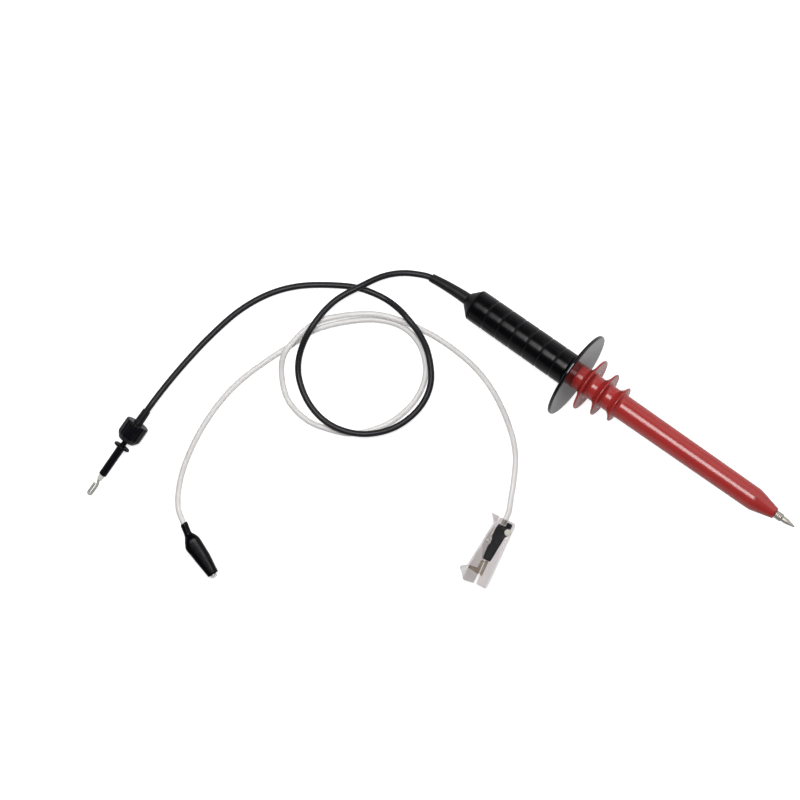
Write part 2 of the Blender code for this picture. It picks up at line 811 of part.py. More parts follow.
# A jaw is a trough of bent sheet: a toothed outline, its inside cut away.
# side is 1 for the jaw on +Y and -1 for the jaw on -Y.
def crocodile_jaw(name, side, half_height, parent):
    half_gap = 0.5 * gap
    outline = [(jaw_tail, 1.6 * mm), (-4.6 * mm, 1.0 * mm)]
    outline += [(-2.4 * mm, -1.5 * mm), (2.4 * mm, -1.5 * mm), (5.0 * mm, 1.3 * mm)]
    first_tooth = jaw_tip - jaw_teeth * jaw_tooth_pitch
    outline.append((first_tooth, 1.5 * mm))
    for k in range(jaw_teeth):
        x = first_tooth + jaw_tooth_pitch * k
        outline.append((x + 0.5 * jaw_tooth_pitch, half_gap))
        if k < jaw_teeth - 1:
            outline.append((x + jaw_tooth_pitch, 1.0 * mm))
    outline += [(jaw_tip, half_gap), (jaw_tip, jaw_tip_height - 0.6 * mm)]
    outline += [(jaw_tip - 1.4 * mm, jaw_tip_height)]
    outline += [(4.0 * mm, jaw_middle_height), (jaw_tail, jaw_tail_height)]
    piece = prism(
        name, [(x, side * y) for x, y in outline], -half_height, half_height, steel, parent
    )
    t = jaw_sheet
    pocket = [(jaw_tail - 2.0 * mm, -3.0 * mm), (jaw_tip - 2.0 * mm, -3.0 * mm)]
    pocket += [(jaw_tip - 2.0 * mm, jaw_tip_height - t), (4.0 * mm, jaw_middle_height - t)]
    pocket += [(jaw_tail - 2.0 * mm, jaw_tail_height - t)]
    inner_height = half_height - t
    cut(
        piece,
        prism(
            name + "_pocket",
            [(x, side * y) for x, y in pocket],
            -inner_height,
            inner_height,
            steel,
            parent,
        ),
    )
    hole = jaw_pin_radius + gap
    reach = half_height + 1.0 * mm
    profile = [(-reach, 0.0), (-reach, hole), (reach, hole), (reach, 0.0)]
    cut(piece, upright(name + "_hole", profile, (0, 0), steel, parent, 16))
    return piece


crocodile_jaw("crocodile_fixed_jaw", -1, fixed_jaw_half_height, crocodile)
crocodile_jaw("crocodile_moving_jaw", 1, moving_jaw_half_height, jaw_hinge)

reach = moving_jaw_half_height + gap
profile = [
    (-reach - 0.5 * mm, 0.0),
    (-reach - 0.5 * mm, 1.3 * mm),
    (-reach, 1.3 * mm),
    (-reach, jaw_pin_radius),
    (reach, jaw_pin_radius),
    (reach, 1.3 * mm),
    (reach + 0.5 * mm, 1.3 * mm),
    (reach + 0.5 * mm, 0.0),
]
upright("crocodile_pin", profile, (0, 0), steel, crocodile, 14)

spring_wire_radius = 0.18 * mm
coil_half = fixed_jaw_half_height - jaw_sheet - gap
points = coil_points(-coil_half, 2 * coil_half, jaw_pin_radius + gap + 2 * spring_wire_radius, 3, 8)
wire("crocodile_spring", [(y, z, x) for x, y, z in points], spring_wire_radius, steel, crocodile, 0)

# The ferrule stays clear of the jaw's tail all the way as it swings
ferrule_front = -math.hypot(jaw_tail, jaw_tail_height) - gap
ferrule_length = 6.0 * mm
ferrule_side = 0.3 * mm
profile = [
    (ferrule_front - ferrule_length, 0.0),
    (ferrule_front - ferrule_length, 1.9 * mm),
    (ferrule_front - 1.5 * mm, 1.9 * mm),
    (ferrule_front, 1.2 * mm),
    (ferrule_front, 0.0),
]
turned("crocodile_ferrule", profile, copper, crocodile, 14, centre=(ferrule_side, 0))
crocodile_lead_end = ferrule_front - ferrule_length - gap - boot_neck_lean * lead_radius

# Clear test clip. x runs from its rear to its mouth.
clip_turn = math.radians(clear_clip_angle)
clip_forward = Vector((math.cos(clip_turn), math.sin(clip_turn), 0))
clip_left = Vector((-math.sin(clip_turn), math.cos(clip_turn), 0))
clip_rear = Vector((disc_x + clear_clip_spot[0], clear_clip_spot[1], clip_half_height))
clip_matrix = Matrix.Rotation(clip_turn, 3, "Z")
clear_clip = axis_frame("clear_clip_axis", clip_rear, clip_matrix)
clip_pivot_place = clip_rear + clip_forward * clip_pivot[0] + clip_left * clip_pivot[1]
lever_hinge = axis_frame("clear_clip_hinge", clip_pivot_place, clip_matrix)


def millimetres(*points, shift=(0.0, 0.0)):
    return [(x * mm - shift[0], y * mm - shift[1]) for x, y in points]


def hinge_points(*points):
    return millimetres(*points, shift=clip_pivot)


plate_low = clip_half_height - clip_plate
outline = millimetres(
    (0.6, -3.2), (9.0, -4.6), (17.0, -7.2), (23.0, -7.2), (34.0, -3.4), (37.5, 0.7),
    (53.8, 1.2), (54.4, 1.8), (54.1, 8.6), (52.4, 9.6), (1.0, 9.4), (0.2, 8.5),
)
fixed_lever = prism(
    "clear_clip_fixed_lever", outline, -clip_half_height, clip_half_height, clear_plastic, clear_clip
)
pocket = millimetres((-2.0, -9.0), (56.0, -9.0), (56.0, 8.2), (-2.0, 8.1))
cut(fixed_lever, prism("fixed_pocket", pocket, -plate_low, plate_low, clear_plastic, clear_clip))

moving_half = plate_low - gap
outline = hinge_points(
    (-0.1, -4.4), (7.2, -4.2), (15.0, -3.6), (18.0, -2.7), (22.0, -2.7), (26.0, -3.4),
    (38.0, -0.6), (54.2, -0.6), (55.3, -8.6), (54.8, -9.5), (47.6, -15.4), (46.2, -15.0),
    (43.8, -10.8), (6.3, -6.3), (0.5, -10.7), (-0.1, -10.1),
)
moving_lever = prism(
    "clear_clip_moving_lever", outline, -moving_half, moving_half, clear_plastic, lever_hinge
)
moving_inner = moving_half - clip_plate
pocket = hinge_points(
    (-3.0, 8.0), (-3.0, -11.8), (5.6, -5.2), (44.4, -9.7), (57.0, -9.7), (57.0, 8.0)
)
cut(
    moving_lever,
    prism("moving_pocket", pocket, -moving_inner, moving_inner, clear_plastic, lever_hinge),
)
hole_reach = clip_half_height + 1.0 * mm
hole = clip_pin_radius + gap
profile = [(-hole_reach, 0.0), (-hole_reach, hole), (hole_reach, hole), (hole_reach, 0.0)]
cut(fixed_lever, upright("fixed_pin_hole", profile, clip_pivot, clear_plastic, clear_clip, 20))
cut(moving_lever, upright("moving_pin_hole", profile, (0, 0), clear_plastic, lever_hinge, 20))

top = clip_half_height - 0.2 * mm
profile = [
    (-top, 0.0),
    (-top, clip_pin_radius),
    (top, clip_pin_radius),
    (top, 0.0),
]
upright("clear_clip_pin", profile, clip_pivot, nickel, clear_clip, 18)

outline = millimetres(
    (5.4, -2.2), (9.4, -3.2), (17.0, -3.3), (17.6, -2.2), (22.4, -2.2), (23.0, -3.1),
    (33.8, -2.5), (34.6, -1.8), (34.6, 3.2), (33.9, 3.9), (13.0, 6.2), (11.4, 7.6), (1.9, 7.6),
    (1.9, 3.2), (5.4, 3.2),
)
core = prism(
    "clear_clip_core", outline, -clip_core_half_height, clip_core_half_height, core_black, clear_clip
)

profile_radius = 0.25 * mm
points = coil_points(
    -clip_core_half_height,
    2 * clip_core_half_height,
    clip_pin_radius + gap + profile_radius,
    5,
    8,
)
points = [(y + clip_pivot[0], z + clip_pivot[1], x) for x, y, z in points]
wire("clear_clip_spring", points, profile_radius, steel, clear_clip, 0)

outline = millimetres(
    (35.0, 0.2), (37.0, 0.2), (37.9, 0.6), (38.8, 0.2), (39.8, 0.6), (40.8, 0.2),
    (41.8, 0.6), (42.8, 0.2), (43.8, 0.6), (44.8, 0.2), (46.2, 0.3), (46.9, 1.2), (46.6, 2.7), (35.0, 2.6),
)
prism(
    "clear_clip_fixed_jaw", outline, -clip_core_half_height, clip_core_half_height, brass, clear_clip
)
outline = hinge_points(
    (35.8, -0.2), (37.0, -0.2), (37.9, -0.6), (38.8, -0.2), (39.8, -0.6), (40.8, -0.2),
    (41.8, -0.6), (42.8, -0.2), (43.8, -0.6), (44.8, -0.2), (46.2, -0.3), (46.9, -1.2),
    (46.4, -2.8), (45.4, -9.4), (43.2, -9.2), (42.8, -2.8), (35.8, -2.6),
)
moving_jaw = prism(
    "clear_clip_moving_jaw",
    list(reversed(outline)),
    -clip_core_half_height,
    clip_core_half_height,
    brass,
    lever_hinge,
)

screw_place = (8.8 * mm, 6.5 * mm)
shank = 1.0 * mm
profile = [
    (clip_core_half_height + gap, 0.0),
    (clip_core_half_height + gap, shank),
    (clip_half_height + gap, shank),
    (clip_half_height + gap, 2.6 * mm),
    (clip_half_height + gap + 0.5 * mm, 2.6 * mm),
    (clip_half_height + gap + 1.0 * mm, 1.9 * mm),
    (clip_half_height + gap + 1.0 * mm, 0.0),
]
upright("clear_clip_screw", profile, screw_place, button_white, clear_clip, 24)
low = plate_low - 1.0 * mm
profile = [(low, 0.0), (low, shank + gap), (hole_reach, shank + gap), (hole_reach, 0.0)]
cut(fixed_lever, upright("screw_hole", profile, screw_place, clear_plastic, clear_clip, 20))

ferrule_rear = 1.0 * mm
profile = [
    (ferrule_rear, 0.0),
    (ferrule_rear, 1.9 * mm),
    (4.9 * mm, 1.9 * mm),
    (4.9 * mm, 0.0),
]
turned("clear_clip_ferrule", profile, copper, clear_clip, 14, centre=(clip_lead_line, 0))


def on_clip_axis(s):
    return clip_rear + clip_forward * s + clip_left * clip_lead_line


# Cords. The routes are hand-placed points in millimetres, x measured from the
# guard disc, then the height of the cord's middle above the floor.
signal_route = [
    (-138.0, -5.2, 2.7), (-148.1, -10.8, 2.5), (-159.4, -21.4, 4.4), (-170.1, -39.7, 8.2),
    (-179.3, -59.9, 9.0), (-181.7, -85.9, 11.3), (-177.6, -107.2, 6.6), (-169.2, -120.9, 4.6),
    (-153.5, -132.3, 5.6), (-137.9, -137.2, 7.2), (-122.9, -137.0, 7.4), (-104.0, -129.5, 7.4),
    (-88.9, -114.7, 7.0), (-81.8, -99.2, 6.9), (-79.9, -82.1, 6.6), (-84.6, -66.2, 6.8),
    (-99.9, -49.4, 7.4), (-112.3, -42.5, 9.2), (-124.2, -38.7, 10.3), (-136.2, -36.0, 6.6),
    (-149.9, -35.7, 2.5), (-169.4, -40.3, 2.5), (-183.0, -47.3, 2.5), (-207.5, -65.1, 2.5),
    (-222.5, -82.8, 2.5), (-233.9, -106.4, 2.5), (-241.0, -136.7, 3.2), (-244.8, -166.3, 6.4),
    (-246.2, -188.0, 11.0),
]
ground_route = [
    (-184.6, -256.7, 3.6), (-196.2, -237.9, 2.3), (-204.4, -206.6, 2.3), (-206.0, -172.7, 2.3),
    (-202.4, -148.8, 2.3), (-195.4, -126.7, 2.3), (-187.4, -106.7, 2.3), (-177.8, -84.1, 2.3),
    (-152.2, -57.2, 2.3), (-138.4, -49.0, 2.3), (-126.0, -45.4, 2.3), (-113.4, -46.6, 2.3),
    (-101.9, -52.3, 2.3), (-90.8, -64.5, 2.3), (-86.0, -82.4, 2.3), (-88.9, -102.8, 2.3),
    (-96.6, -118.4, 2.3), (-111.0, -134.2, 2.3), (-127.8, -141.5, 2.3), (-143.5, -145.1, 2.3),
    (-165.0, -140.9, 2.3), (-181.5, -126.0, 3.4), (-187.2, -114.6, 6.9), (-187.0, -102.3, 7.3),
    (-181.4, -80.6, 6.0), (-155.7, -54.2, 6.0), (-140.4, -45.6, 6.0), (-125.0, -41.1, 5.2),
    (-112.3, -38.4, 3.0), (-97.8, -36.8, 2.3), (-68.8, -37.8, 2.3), (-46.5, -43.4, 2.3),
    (-23.8, -54.9, 2.3), (-2.2, -72.0, 2.3), (10.2, -91.2, 3.6), (16.9, -105.0, 5.4),
]


def route_points(route):
    return [Vector((disc_x + x * mm, y * mm, z * mm)) for x, y, z in route]


inside_start = crimp_finish + 1.0 * mm
signal_points = [
    on_probe_axis(inside_start),
    in_sleeve(-handle_length),
    in_sleeve(0.5 * (sleeve_end - handle_length)),
    in_sleeve(sleeve_end),
    in_sleeve(sleeve_end - 2.0 * mm),
]
signal_points += route_points(signal_route)
signal_points += [
    on_hook_axis(sleeve_start - hook_sleeve_length - 4.0 * mm),
    on_hook_axis(sleeve_start - hook_sleeve_length),
    on_hook_axis(sleeve_start),
]
points = smooth_route(signal_points, 62, cable_radius + floor_gap)
wire("signal_cable", points, cable_radius, cable_sheath)

ground_points = [
    in_crocodile_neck(crocodile_lead_end),
    in_crocodile_neck(0.5 * (crocodile_lead_end + boot_neck_end)),
    in_crocodile_neck(boot_neck_end),
    in_crocodile_neck(boot_neck_end - 3.0 * mm),
]
ground_points += route_points(ground_route)
ground_points += [on_clip_axis(-6.0 * mm), on_clip_axis(ferrule_rear - gap)]
points = smooth_route(ground_points, 70, lead_radius + floor_gap)
wire("ground_lead", points, lead_radius, lead_sheath)
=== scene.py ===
import json
import math

import bmesh
import bpy
import numpy as np
from mathutils import Matrix, Vector


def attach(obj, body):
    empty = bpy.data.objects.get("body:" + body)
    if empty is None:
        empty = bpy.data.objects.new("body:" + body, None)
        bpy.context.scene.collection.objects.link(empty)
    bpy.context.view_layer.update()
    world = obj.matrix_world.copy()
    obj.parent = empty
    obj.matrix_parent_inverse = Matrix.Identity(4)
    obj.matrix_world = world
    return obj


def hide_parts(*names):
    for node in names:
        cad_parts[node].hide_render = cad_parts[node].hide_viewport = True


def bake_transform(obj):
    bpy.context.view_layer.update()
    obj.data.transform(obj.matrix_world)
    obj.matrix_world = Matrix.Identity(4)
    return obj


# Looks of the high voltage probe: its cable with the hook clip, and its ground
# lead with a crocodile clip and a clear clip, lying on a pale table

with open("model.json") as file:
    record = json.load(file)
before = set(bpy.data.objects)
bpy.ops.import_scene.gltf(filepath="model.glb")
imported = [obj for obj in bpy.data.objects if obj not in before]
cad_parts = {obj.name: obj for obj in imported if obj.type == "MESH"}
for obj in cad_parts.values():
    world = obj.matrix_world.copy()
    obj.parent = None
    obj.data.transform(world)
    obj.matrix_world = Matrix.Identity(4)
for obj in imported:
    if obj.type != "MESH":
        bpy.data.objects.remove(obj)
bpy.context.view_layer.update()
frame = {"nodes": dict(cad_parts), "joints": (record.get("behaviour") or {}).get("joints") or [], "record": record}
record = frame["record"]
joints = {joint["name"]: joint for joint in frame["joints"]}
mm = 0.001


# Camera, floor and light

cameraSetup = {
    "place": (-0.12733, -0.09172, 2.3), "turn": 35.4, "lens": 136.184, "sensor": 36, "farthest": 50,
}

studio = {
    "softboxPlace": (-0.40, 0.09, 1.5),
    "softboxAim": (-0.02, -0.02, 0.02),
    "softboxSize": (0.70, 0.72),
    "softboxPower": 19.0,
    "fillPlace": (0.25, 1.25, 1.1),
    "fillAim": (0, 0, 0),
    "fillSize": (1.6, 1.6),
    "fillPower": 9.0,
    "skyStops": ((0.08, 0.85), (0.3, 0.14), (0.62, 0.05)),  # height of a ray, level of grey
    "skyThrough": 0.08,
    "floorSize": 14.0,
    "floorPoints": 9,
    "floorColour": (0.8, 0.8, 0.8),
    "floorRough": 0.9,
    "floorGloss": 0.1,
    "floorLift": 0.68,
    "floorMirrored": 0.1,
    "floorThrough": 0.32,
}


# A new object in the scene, at the origin
def newObject(name, data):
    item = bpy.data.objects.new(name, data)
    bpy.context.scene.collection.objects.link(item)
    return item


# Looks straight down from its place, turned about its own axis
def makeCamera():
    camera = newObject("camera", bpy.data.cameras.new("camera"))
    camera.location = cameraSetup["place"]
    camera.rotation_euler = (0, 0, math.radians(cameraSetup["turn"]))
    camera.data.lens = cameraSetup["lens"]
    camera.data.sensor_width = cameraSetup["sensor"]
    camera.data.clip_end = cameraSetup["farthest"]
    bpy.context.scene.camera = camera


# A rectangle of light that looks from its place to its aim: its back points away
# from the aim, its first side is Y crossed with the back, and its second side is
# the back crossed with the first
def areaLight(name):
    light = bpy.data.lights.new(name, "AREA")
    light.shape = "RECTANGLE"
    light.size, light.size_y = studio[name + "Size"]
    light.energy = studio[name + "Power"]
    holder = newObject(name, light)
    holder.location = studio[name + "Place"]
    toward = Vector(studio[name + "Aim"]) - Vector(studio[name + "Place"])
    side = Vector((0, 1, 0)).cross(-toward).normalized()
    back = -toward.normalized()
    holder.rotation_euler = Matrix((side, back.cross(side), back)).transposed().to_euler()


# Pale at the horizon and darker overhead, so black plastic stays black, but mixed to
# white by 1 for the camera's rays and by skyThrough for those through clear plastic
def makeSky():
    world = bpy.data.worlds.new("studioSky")
    bpy.context.scene.world = world
    world.use_nodes = True
    tree = world.node_tree
    direction = tree.nodes.new("ShaderNodeTexCoord")
    split = tree.nodes.new("ShaderNodeSeparateXYZ")
    ramp = tree.nodes.new("ShaderNodeValToRGB")
    stops, elements = studio["skyStops"], ramp.color_ramp.elements
    elements[0].position, elements[1].position = stops[0][0], stops[2][0]
    elements.new(stops[1][0])
    for element, (height, level) in zip(elements, stops):
        element.color = (level, level, level, 1)
    tree.links.new(direction.outputs["Generated"], split.inputs[0])
    tree.links.new(split.outputs["Z"], ramp.inputs[0])
    rays = tree.nodes.new("ShaderNodeLightPath").outputs
    through = mathNode(tree, "MULTIPLY", rays["Is Transmission Ray"], studio["skyThrough"])
    seen = mathNode(tree, "ADD", rays["Is Camera Ray"], through, clamp=True)
    sky = colourMix(tree, seen, ramp.outputs["Color"], (1.0, 1.0, 1.0))
    tree.links.new(sky, tree.nodes["Background"].inputs["Color"])


# A matt floor that keeps shadows. It glows by floorLift for the camera's rays, by
# floorMirrored for glossy ones and by floorThrough for those through clear plastic.
def makeFloor():
    half = studio["floorSize"] / 2
    steps = np.linspace(-half, half, studio["floorPoints"])
    x, y = np.meshgrid(steps, steps, indexing="ij")
    floor = surfacePiece("floor", np.stack([x, y, np.zeros_like(x)], -1), around=False)
    material, tree, shader = newMaterial("paleFloor")
    setInputs(shader, {
        "Base Color": (*studio["floorColour"], 1), "Roughness": studio["floorRough"],
        "Specular IOR Level": studio["floorGloss"], "Emission Color": (1, 1, 1, 1),
    })
    rays = tree.nodes.new("ShaderNodeLightPath").outputs
    through = rays["Is Transmission Ray"]
    mirrored = mathNode(tree, "SUBTRACT", rays["Is Glossy Ray"], through, clamp=True)
    lift = mathNode(tree, "MULTIPLY", rays["Is Camera Ray"], studio["floorLift"])
    for ray, strength in ((mirrored, studio["floorMirrored"]), (through, studio["floorThrough"])):
        lift = mathNode(tree, "ADD", lift, mathNode(tree, "MULTIPLY", ray, strength))
    tree.links.new(lift, shader["Emission Strength"])
    floor.data.materials.append(material)


# Surfaces

weldReach = 1e-7  # corners of a mesh that lie closer, in metres, are one
closest = 1e-4  # points of an outline that lie closer, in millimetres, are one
tiny = 1e-12  # keeps a division by nothing away


# How far along a line of points each of them lies: the sum of the steps before it
def lengthAlong(points):
    return np.concatenate([[0], np.cumsum(np.linalg.norm(np.diff(points, axis=0), axis=1))])


# A mesh from a grid of points: rows run along the piece, columns run round it, and a
# face joins (i, j), (i, j + 1), (i + 1, j + 1) and (i + 1, j). Rows that shrink to one
# point become a pole when their doubles are merged. Its UV map holds the part of the
# way round and the length along the rows' middles.
def surfacePiece(name, grid, along=None, closed=False, around=True):
    rows, columns = grid.shape[:2]
    i, j = np.meshgrid(
        np.arange(rows if closed else rows - 1),
        np.arange(columns if around else columns - 1),
        indexing="ij",
    )
    nextRow, nextColumn = (i + 1) % rows, (j + 1) % columns
    corners = [(i, j), (i, nextColumn), (nextRow, nextColumn), (nextRow, j)]
    faces = np.stack([a * columns + b for a, b in corners], -1).reshape(-1, 4)
    mesh = bpy.data.meshes.new(name)
    mesh.from_pydata(grid.reshape(-1, 3).tolist(), [], faces.tolist())
    if along is None:
        along = lengthAlong(grid.mean(1))
    if closed:
        along = np.append(along, along[0])
    u = np.stack([j, j + 1, j + 1, j], -1) / columns
    v = np.stack([along[i], along[i], along[i + 1], along[i + 1]], -1)
    layer = mesh.uv_layers.new(name="surface")
    layer.data.foreach_set("uv", np.stack([u, v], -1).astype(np.float32).ravel())
    welded = bmesh.new()
    welded.from_mesh(mesh)
    bmesh.ops.remove_doubles(welded, verts=welded.verts, dist=weldReach)
    bmesh.ops.recalc_face_normals(welded, faces=welded.faces)
    welded.to_mesh(mesh)
    welded.free()
    mesh.shade_smooth()
    return newObject(name, mesh)


# Corners of (along, out, fillet) become a smooth outline: each corner is a quadratic
# curve between the points where its fillet starts and ends, and a fillet takes no
# more than share of a side
def softened(corners, steps=6, share=0.48):
    corners = np.asarray(corners, float)
    spots, fillet = corners[:, :2], corners[:, 2]
    before, after = np.roll(spots, 1, axis=0), np.roll(spots, -1, axis=0)
    before[0], after[-1] = spots[0], spots[-1]
    toBefore, toAfter = before - spots, after - spots
    lengthBefore = np.linalg.norm(toBefore, axis=1) + tiny
    lengthAfter = np.linalg.norm(toAfter, axis=1) + tiny
    back = np.minimum(fillet, share * lengthBefore) / lengthBefore
    forth = np.minimum(fillet, share * lengthAfter) / lengthAfter
    start = spots + toBefore * back[:, None]
    end = spots + toAfter * forth[:, None]
    t = np.linspace(0, 1, steps)[None, :, None]
    curve = (1 - t) ** 2 * start[:, None] + 2 * t * (1 - t) * spots[:, None] + t**2 * end[:, None]
    curve = curve.reshape(-1, 2)
    kept = np.concatenate([[True], np.linalg.norm(np.diff(curve, axis=0), axis=1) > closest])
    return curve[kept]


# Long stretches of an outline get points in between, no further apart than the step
def refined(outline, step):
    spans = np.diff(outline, axis=0)
    counts = np.maximum(np.ceil(np.linalg.norm(spans, axis=1) / step).astype(int), 1)
    index = np.repeat(np.arange(len(spans)), counts)
    within = np.arange(counts.sum()) - np.repeat(np.cumsum(counts) - counts, counts)
    points = outline[index] + spans[index] * (within / counts[index])[:, None]
    return np.vstack([points, outline[-1:]])


# A smooth curve through rows of numbers: Catmull-Rom on the square root of the
# distances, by linear blends of blends; the first and last rows are the ends.
def curveThrough(rows, perSpan):
    rows = np.asarray(rows, float)
    spots = np.vstack([2 * rows[0] - rows[1], rows, 2 * rows[-1] - rows[-2]])
    gaps = np.sqrt(np.linalg.norm(np.diff(spots, axis=0), axis=1))
    knots = np.concatenate([[0], np.cumsum(gaps)])
    spans = len(spots) - 3
    p = [spots[k : k + spans, None] for k in range(4)]
    k = [knots[n : n + spans, None, None] for n in range(4)]
    u = k[1] + (k[2] - k[1]) * (np.arange(perSpan) / perSpan)[None, :, None]
    a = [p[n] + (p[n + 1] - p[n]) * (u - k[n]) / (k[n + 1] - k[n]) for n in range(3)]
    b = [a[n] + (a[n + 1] - a[n]) * (u - k[n]) / (k[n + 2] - k[n]) for n in range(2)]
    c = b[0] + (b[1] - b[0]) * (u - k[1]) / (k[2] - k[1])
    return np.vstack([c.reshape(-1, rows.shape[1]), rows[-1:]])


# An axis frame is an origin and three directions, as rows. A point (s, y, z) in it, in
# millimetres, is the origin plus s, y and z times those directions.
def placed(points, axes):
    return axes[0] + (np.asarray(points) * mm) @ axes[1:]


# The corners of a CAD node's mesh, one row each
def nodePoints(node):
    mesh = frame["nodes"][node].data
    points = np.zeros(len(mesh.vertices) * 3, np.float32)
    mesh.vertices.foreach_get("co", points)
    return points.reshape(-1, 3).astype(float)


# The frame of a turned node: its points average out on the axis, its lowest place
# along the axis reads as start, up is forward crossed with sideways, and sideways is
# then up crossed with forward
def turnedAxes(node, forward, sideways, start):
    points = nodePoints(node)
    middle = points.mean(0)
    forward, sideways = np.array(forward, float), np.array(sideways, float)
    forward /= np.linalg.norm(forward)
    up = np.cross(forward, sideways)
    up /= np.linalg.norm(up)
    lowest = ((points - middle) @ forward).min()
    return np.stack([middle + forward * (lowest - start * mm), forward, np.cross(up, forward), up])


# Turned surface: a point of the profile (s, r) at angle a is (s, r sin a, -r cos a),
# with ripple added to r and shift to the second place
def spun(name, profile, axes, around=96, closed=False, shift=None, ripple=None):
    s, r = profile[:, 0:1], profile[:, 1:2]
    a = np.linspace(0, 2 * np.pi, around, endpoint=False)[None, :]
    if ripple is not None:
        r = r + ripple(s, r, a)
    y = r * np.sin(a) + (0 if shift is None else shift(s))
    grid = np.stack([s + 0 * a, y, -r * np.cos(a) + 0 * s], -1)
    return surfacePiece(name, placed(grid, axes), along=s[:, 0] * mm, closed=closed)


# A tube along a path: a circle round each point p of it, p + r (cos a f + sin a h),
# with f square to the path and to the direction beside, and h square to both
def tubePiece(name, path, radius, around, beside=(0, 0, 1.0)):
    tangents = np.gradient(path, axis=0)
    tangents /= np.linalg.norm(tangents, axis=1)[:, None]
    flat = np.cross(beside, tangents)
    flat /= np.maximum(np.linalg.norm(flat, axis=1), tiny)[:, None]
    high = np.cross(tangents, flat)
    a = np.linspace(0, 2 * np.pi, around, endpoint=False)
    ring = np.cos(a)[None, :, None] * flat[:, None] + np.sin(a)[None, :, None] * high[:, None]
    grid = path[:, None] + radius * ring
    grid = np.concatenate([path[:1, None] + 0 * grid[:1], grid, path[-1:, None] + 0 * grid[-1:]])
    return surfacePiece(name, grid)


copySetup = {"weld": 1e-6, "flat": 0.5}  # metres, and the angle up to which faces are one


# A merged copy of a CAD node whose edges sharper than sharp get a round of bevel
# millimetres, and whose normals follow the larger face
def roundedCopy(name, node, bevel, segments, sharp):
    mesh = frame["nodes"][node].data.copy()
    mesh.materials.clear()
    mesh.name = name
    merged = bmesh.new()
    merged.from_mesh(mesh)
    bmesh.ops.remove_doubles(merged, verts=merged.verts, dist=copySetup["weld"])
    flat = math.radians(copySetup["flat"])
    bmesh.ops.dissolve_limit(merged, angle_limit=flat, verts=merged.verts, edges=merged.edges)
    merged.to_mesh(mesh)
    merged.free()
    mesh.shade_smooth()
    piece = newObject(name, mesh)
    rounding = piece.modifiers.new("rounding", "BEVEL")
    rounding.width = bevel * mm
    rounding.segments = segments
    rounding.limit_method = "ANGLE"
    rounding.angle_limit = math.radians(sharp)
    piece.modifiers.new("flatness", "WEIGHTED_NORMAL").keep_sharp = True
    return piece


# A piece's finish, body, and the CAD node that it stands for, which is hidden. A piece
# without a body stays without a parent.
def dress(piece, finishName, body, node):
    piece.data.materials.append(materials[finishName])
    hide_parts(node)
    if body:
        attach(piece, body)


# Finishes

# A new material, its node tree and the inputs of its shader
def newMaterial(name):
    material = bpy.data.materials.new(name)
    material.use_nodes = True
    tree = material.node_tree
    return material, tree, tree.nodes["Principled BSDF"].inputs


# Constant values for named inputs
def setInputs(inputs, values):
    for label, value in values.items():
        inputs[label].default_value = value


# A number or colour is set on an input, and a socket is linked to it
def feed(tree, value, socket):
    if isinstance(value, bpy.types.NodeSocket):
        tree.links.new(value, socket)
    else:
        socket.default_value = value


# An empty group with a Vector input, number inputs with their values, and number outputs
def newGroup(name, inputs, outputs):
    group = bpy.data.node_groups.new(name, "ShaderNodeTree")
    sockets = group.interface
    sockets.new_socket(name="Vector", in_out="INPUT", socket_type="NodeSocketVector")
    for label, value in inputs.items():
        socket = sockets.new_socket(name=label, in_out="INPUT", socket_type="NodeSocketFloat")
        socket.default_value = value
    for label in outputs:
        sockets.new_socket(name=label, in_out="OUTPUT", socket_type="NodeSocketFloat")
    return group, group.nodes.new("NodeGroupInput"), group.nodes.new("NodeGroupOutput")


# The value of a noise whose scale comes from a socket
def noiseNode(tree, vector, scale, detail, roughness=0.55, distortion=0.0):
    noise = tree.nodes.new("ShaderNodeTexNoise")
    setInputs(noise.inputs, {"Detail": detail, "Roughness": roughness, "Distortion": distortion})
    tree.links.new(scale, noise.inputs["Scale"])
    tree.links.new(vector, noise.inputs["Vector"])
    return noise.outputs[0]


# One operation on numbers or sockets, held between 0 and 1 if clamp is set
def mathNode(tree, operation, *values, clamp=False):
    node = tree.nodes.new("ShaderNodeMath")
    node.operation = operation
    node.use_clamp = clamp
    for value, socket in zip(values, node.inputs):
        feed(tree, value, socket)
    return node.outputs[0]


# The straight line from (low, toLow) to (high, toHigh), level beyond its ends
def rangeNode(tree, value, low, high, toLow, toHigh):
    node = tree.nodes.new("ShaderNodeMapRange")
    tree.links.new(value, node.inputs["Value"])
    setInputs(node.inputs, {"From Min": low, "From Max": high, "To Min": toLow, "To Max": toHigh})
    return node.outputs["Result"]


# The first colour times (1 - factor) plus the second times factor; each is a tuple or
# a socket
def colourMix(tree, factor, first, second):
    node = tree.nodes.new("ShaderNodeMix")
    node.data_type = "RGBA"
    tree.links.new(factor, node.inputs[0])
    for value, socket in ((first, node.inputs[6]), (second, node.inputs[7])):
        feed(tree, (*value, 1) if isinstance(value, tuple) else value, socket)
    return node.outputs[2]


# A noise's scale from a size in millimetres: 1000 divided by the size
def noiseScale(group, source, label):
    return mathNode(group, "DIVIDE", 1000.0, source.outputs[label])


surfaceMarks = {
    "mottle": (0.3, 0.7), "lineTurn": (0.3, 0.5, 0.9), "lineStretch": (1.0, 7.0, 3.0),
    "lineWidth": 0.006, "patches": (0.5, 0.62), "specks": (0.72, 0.8),
}


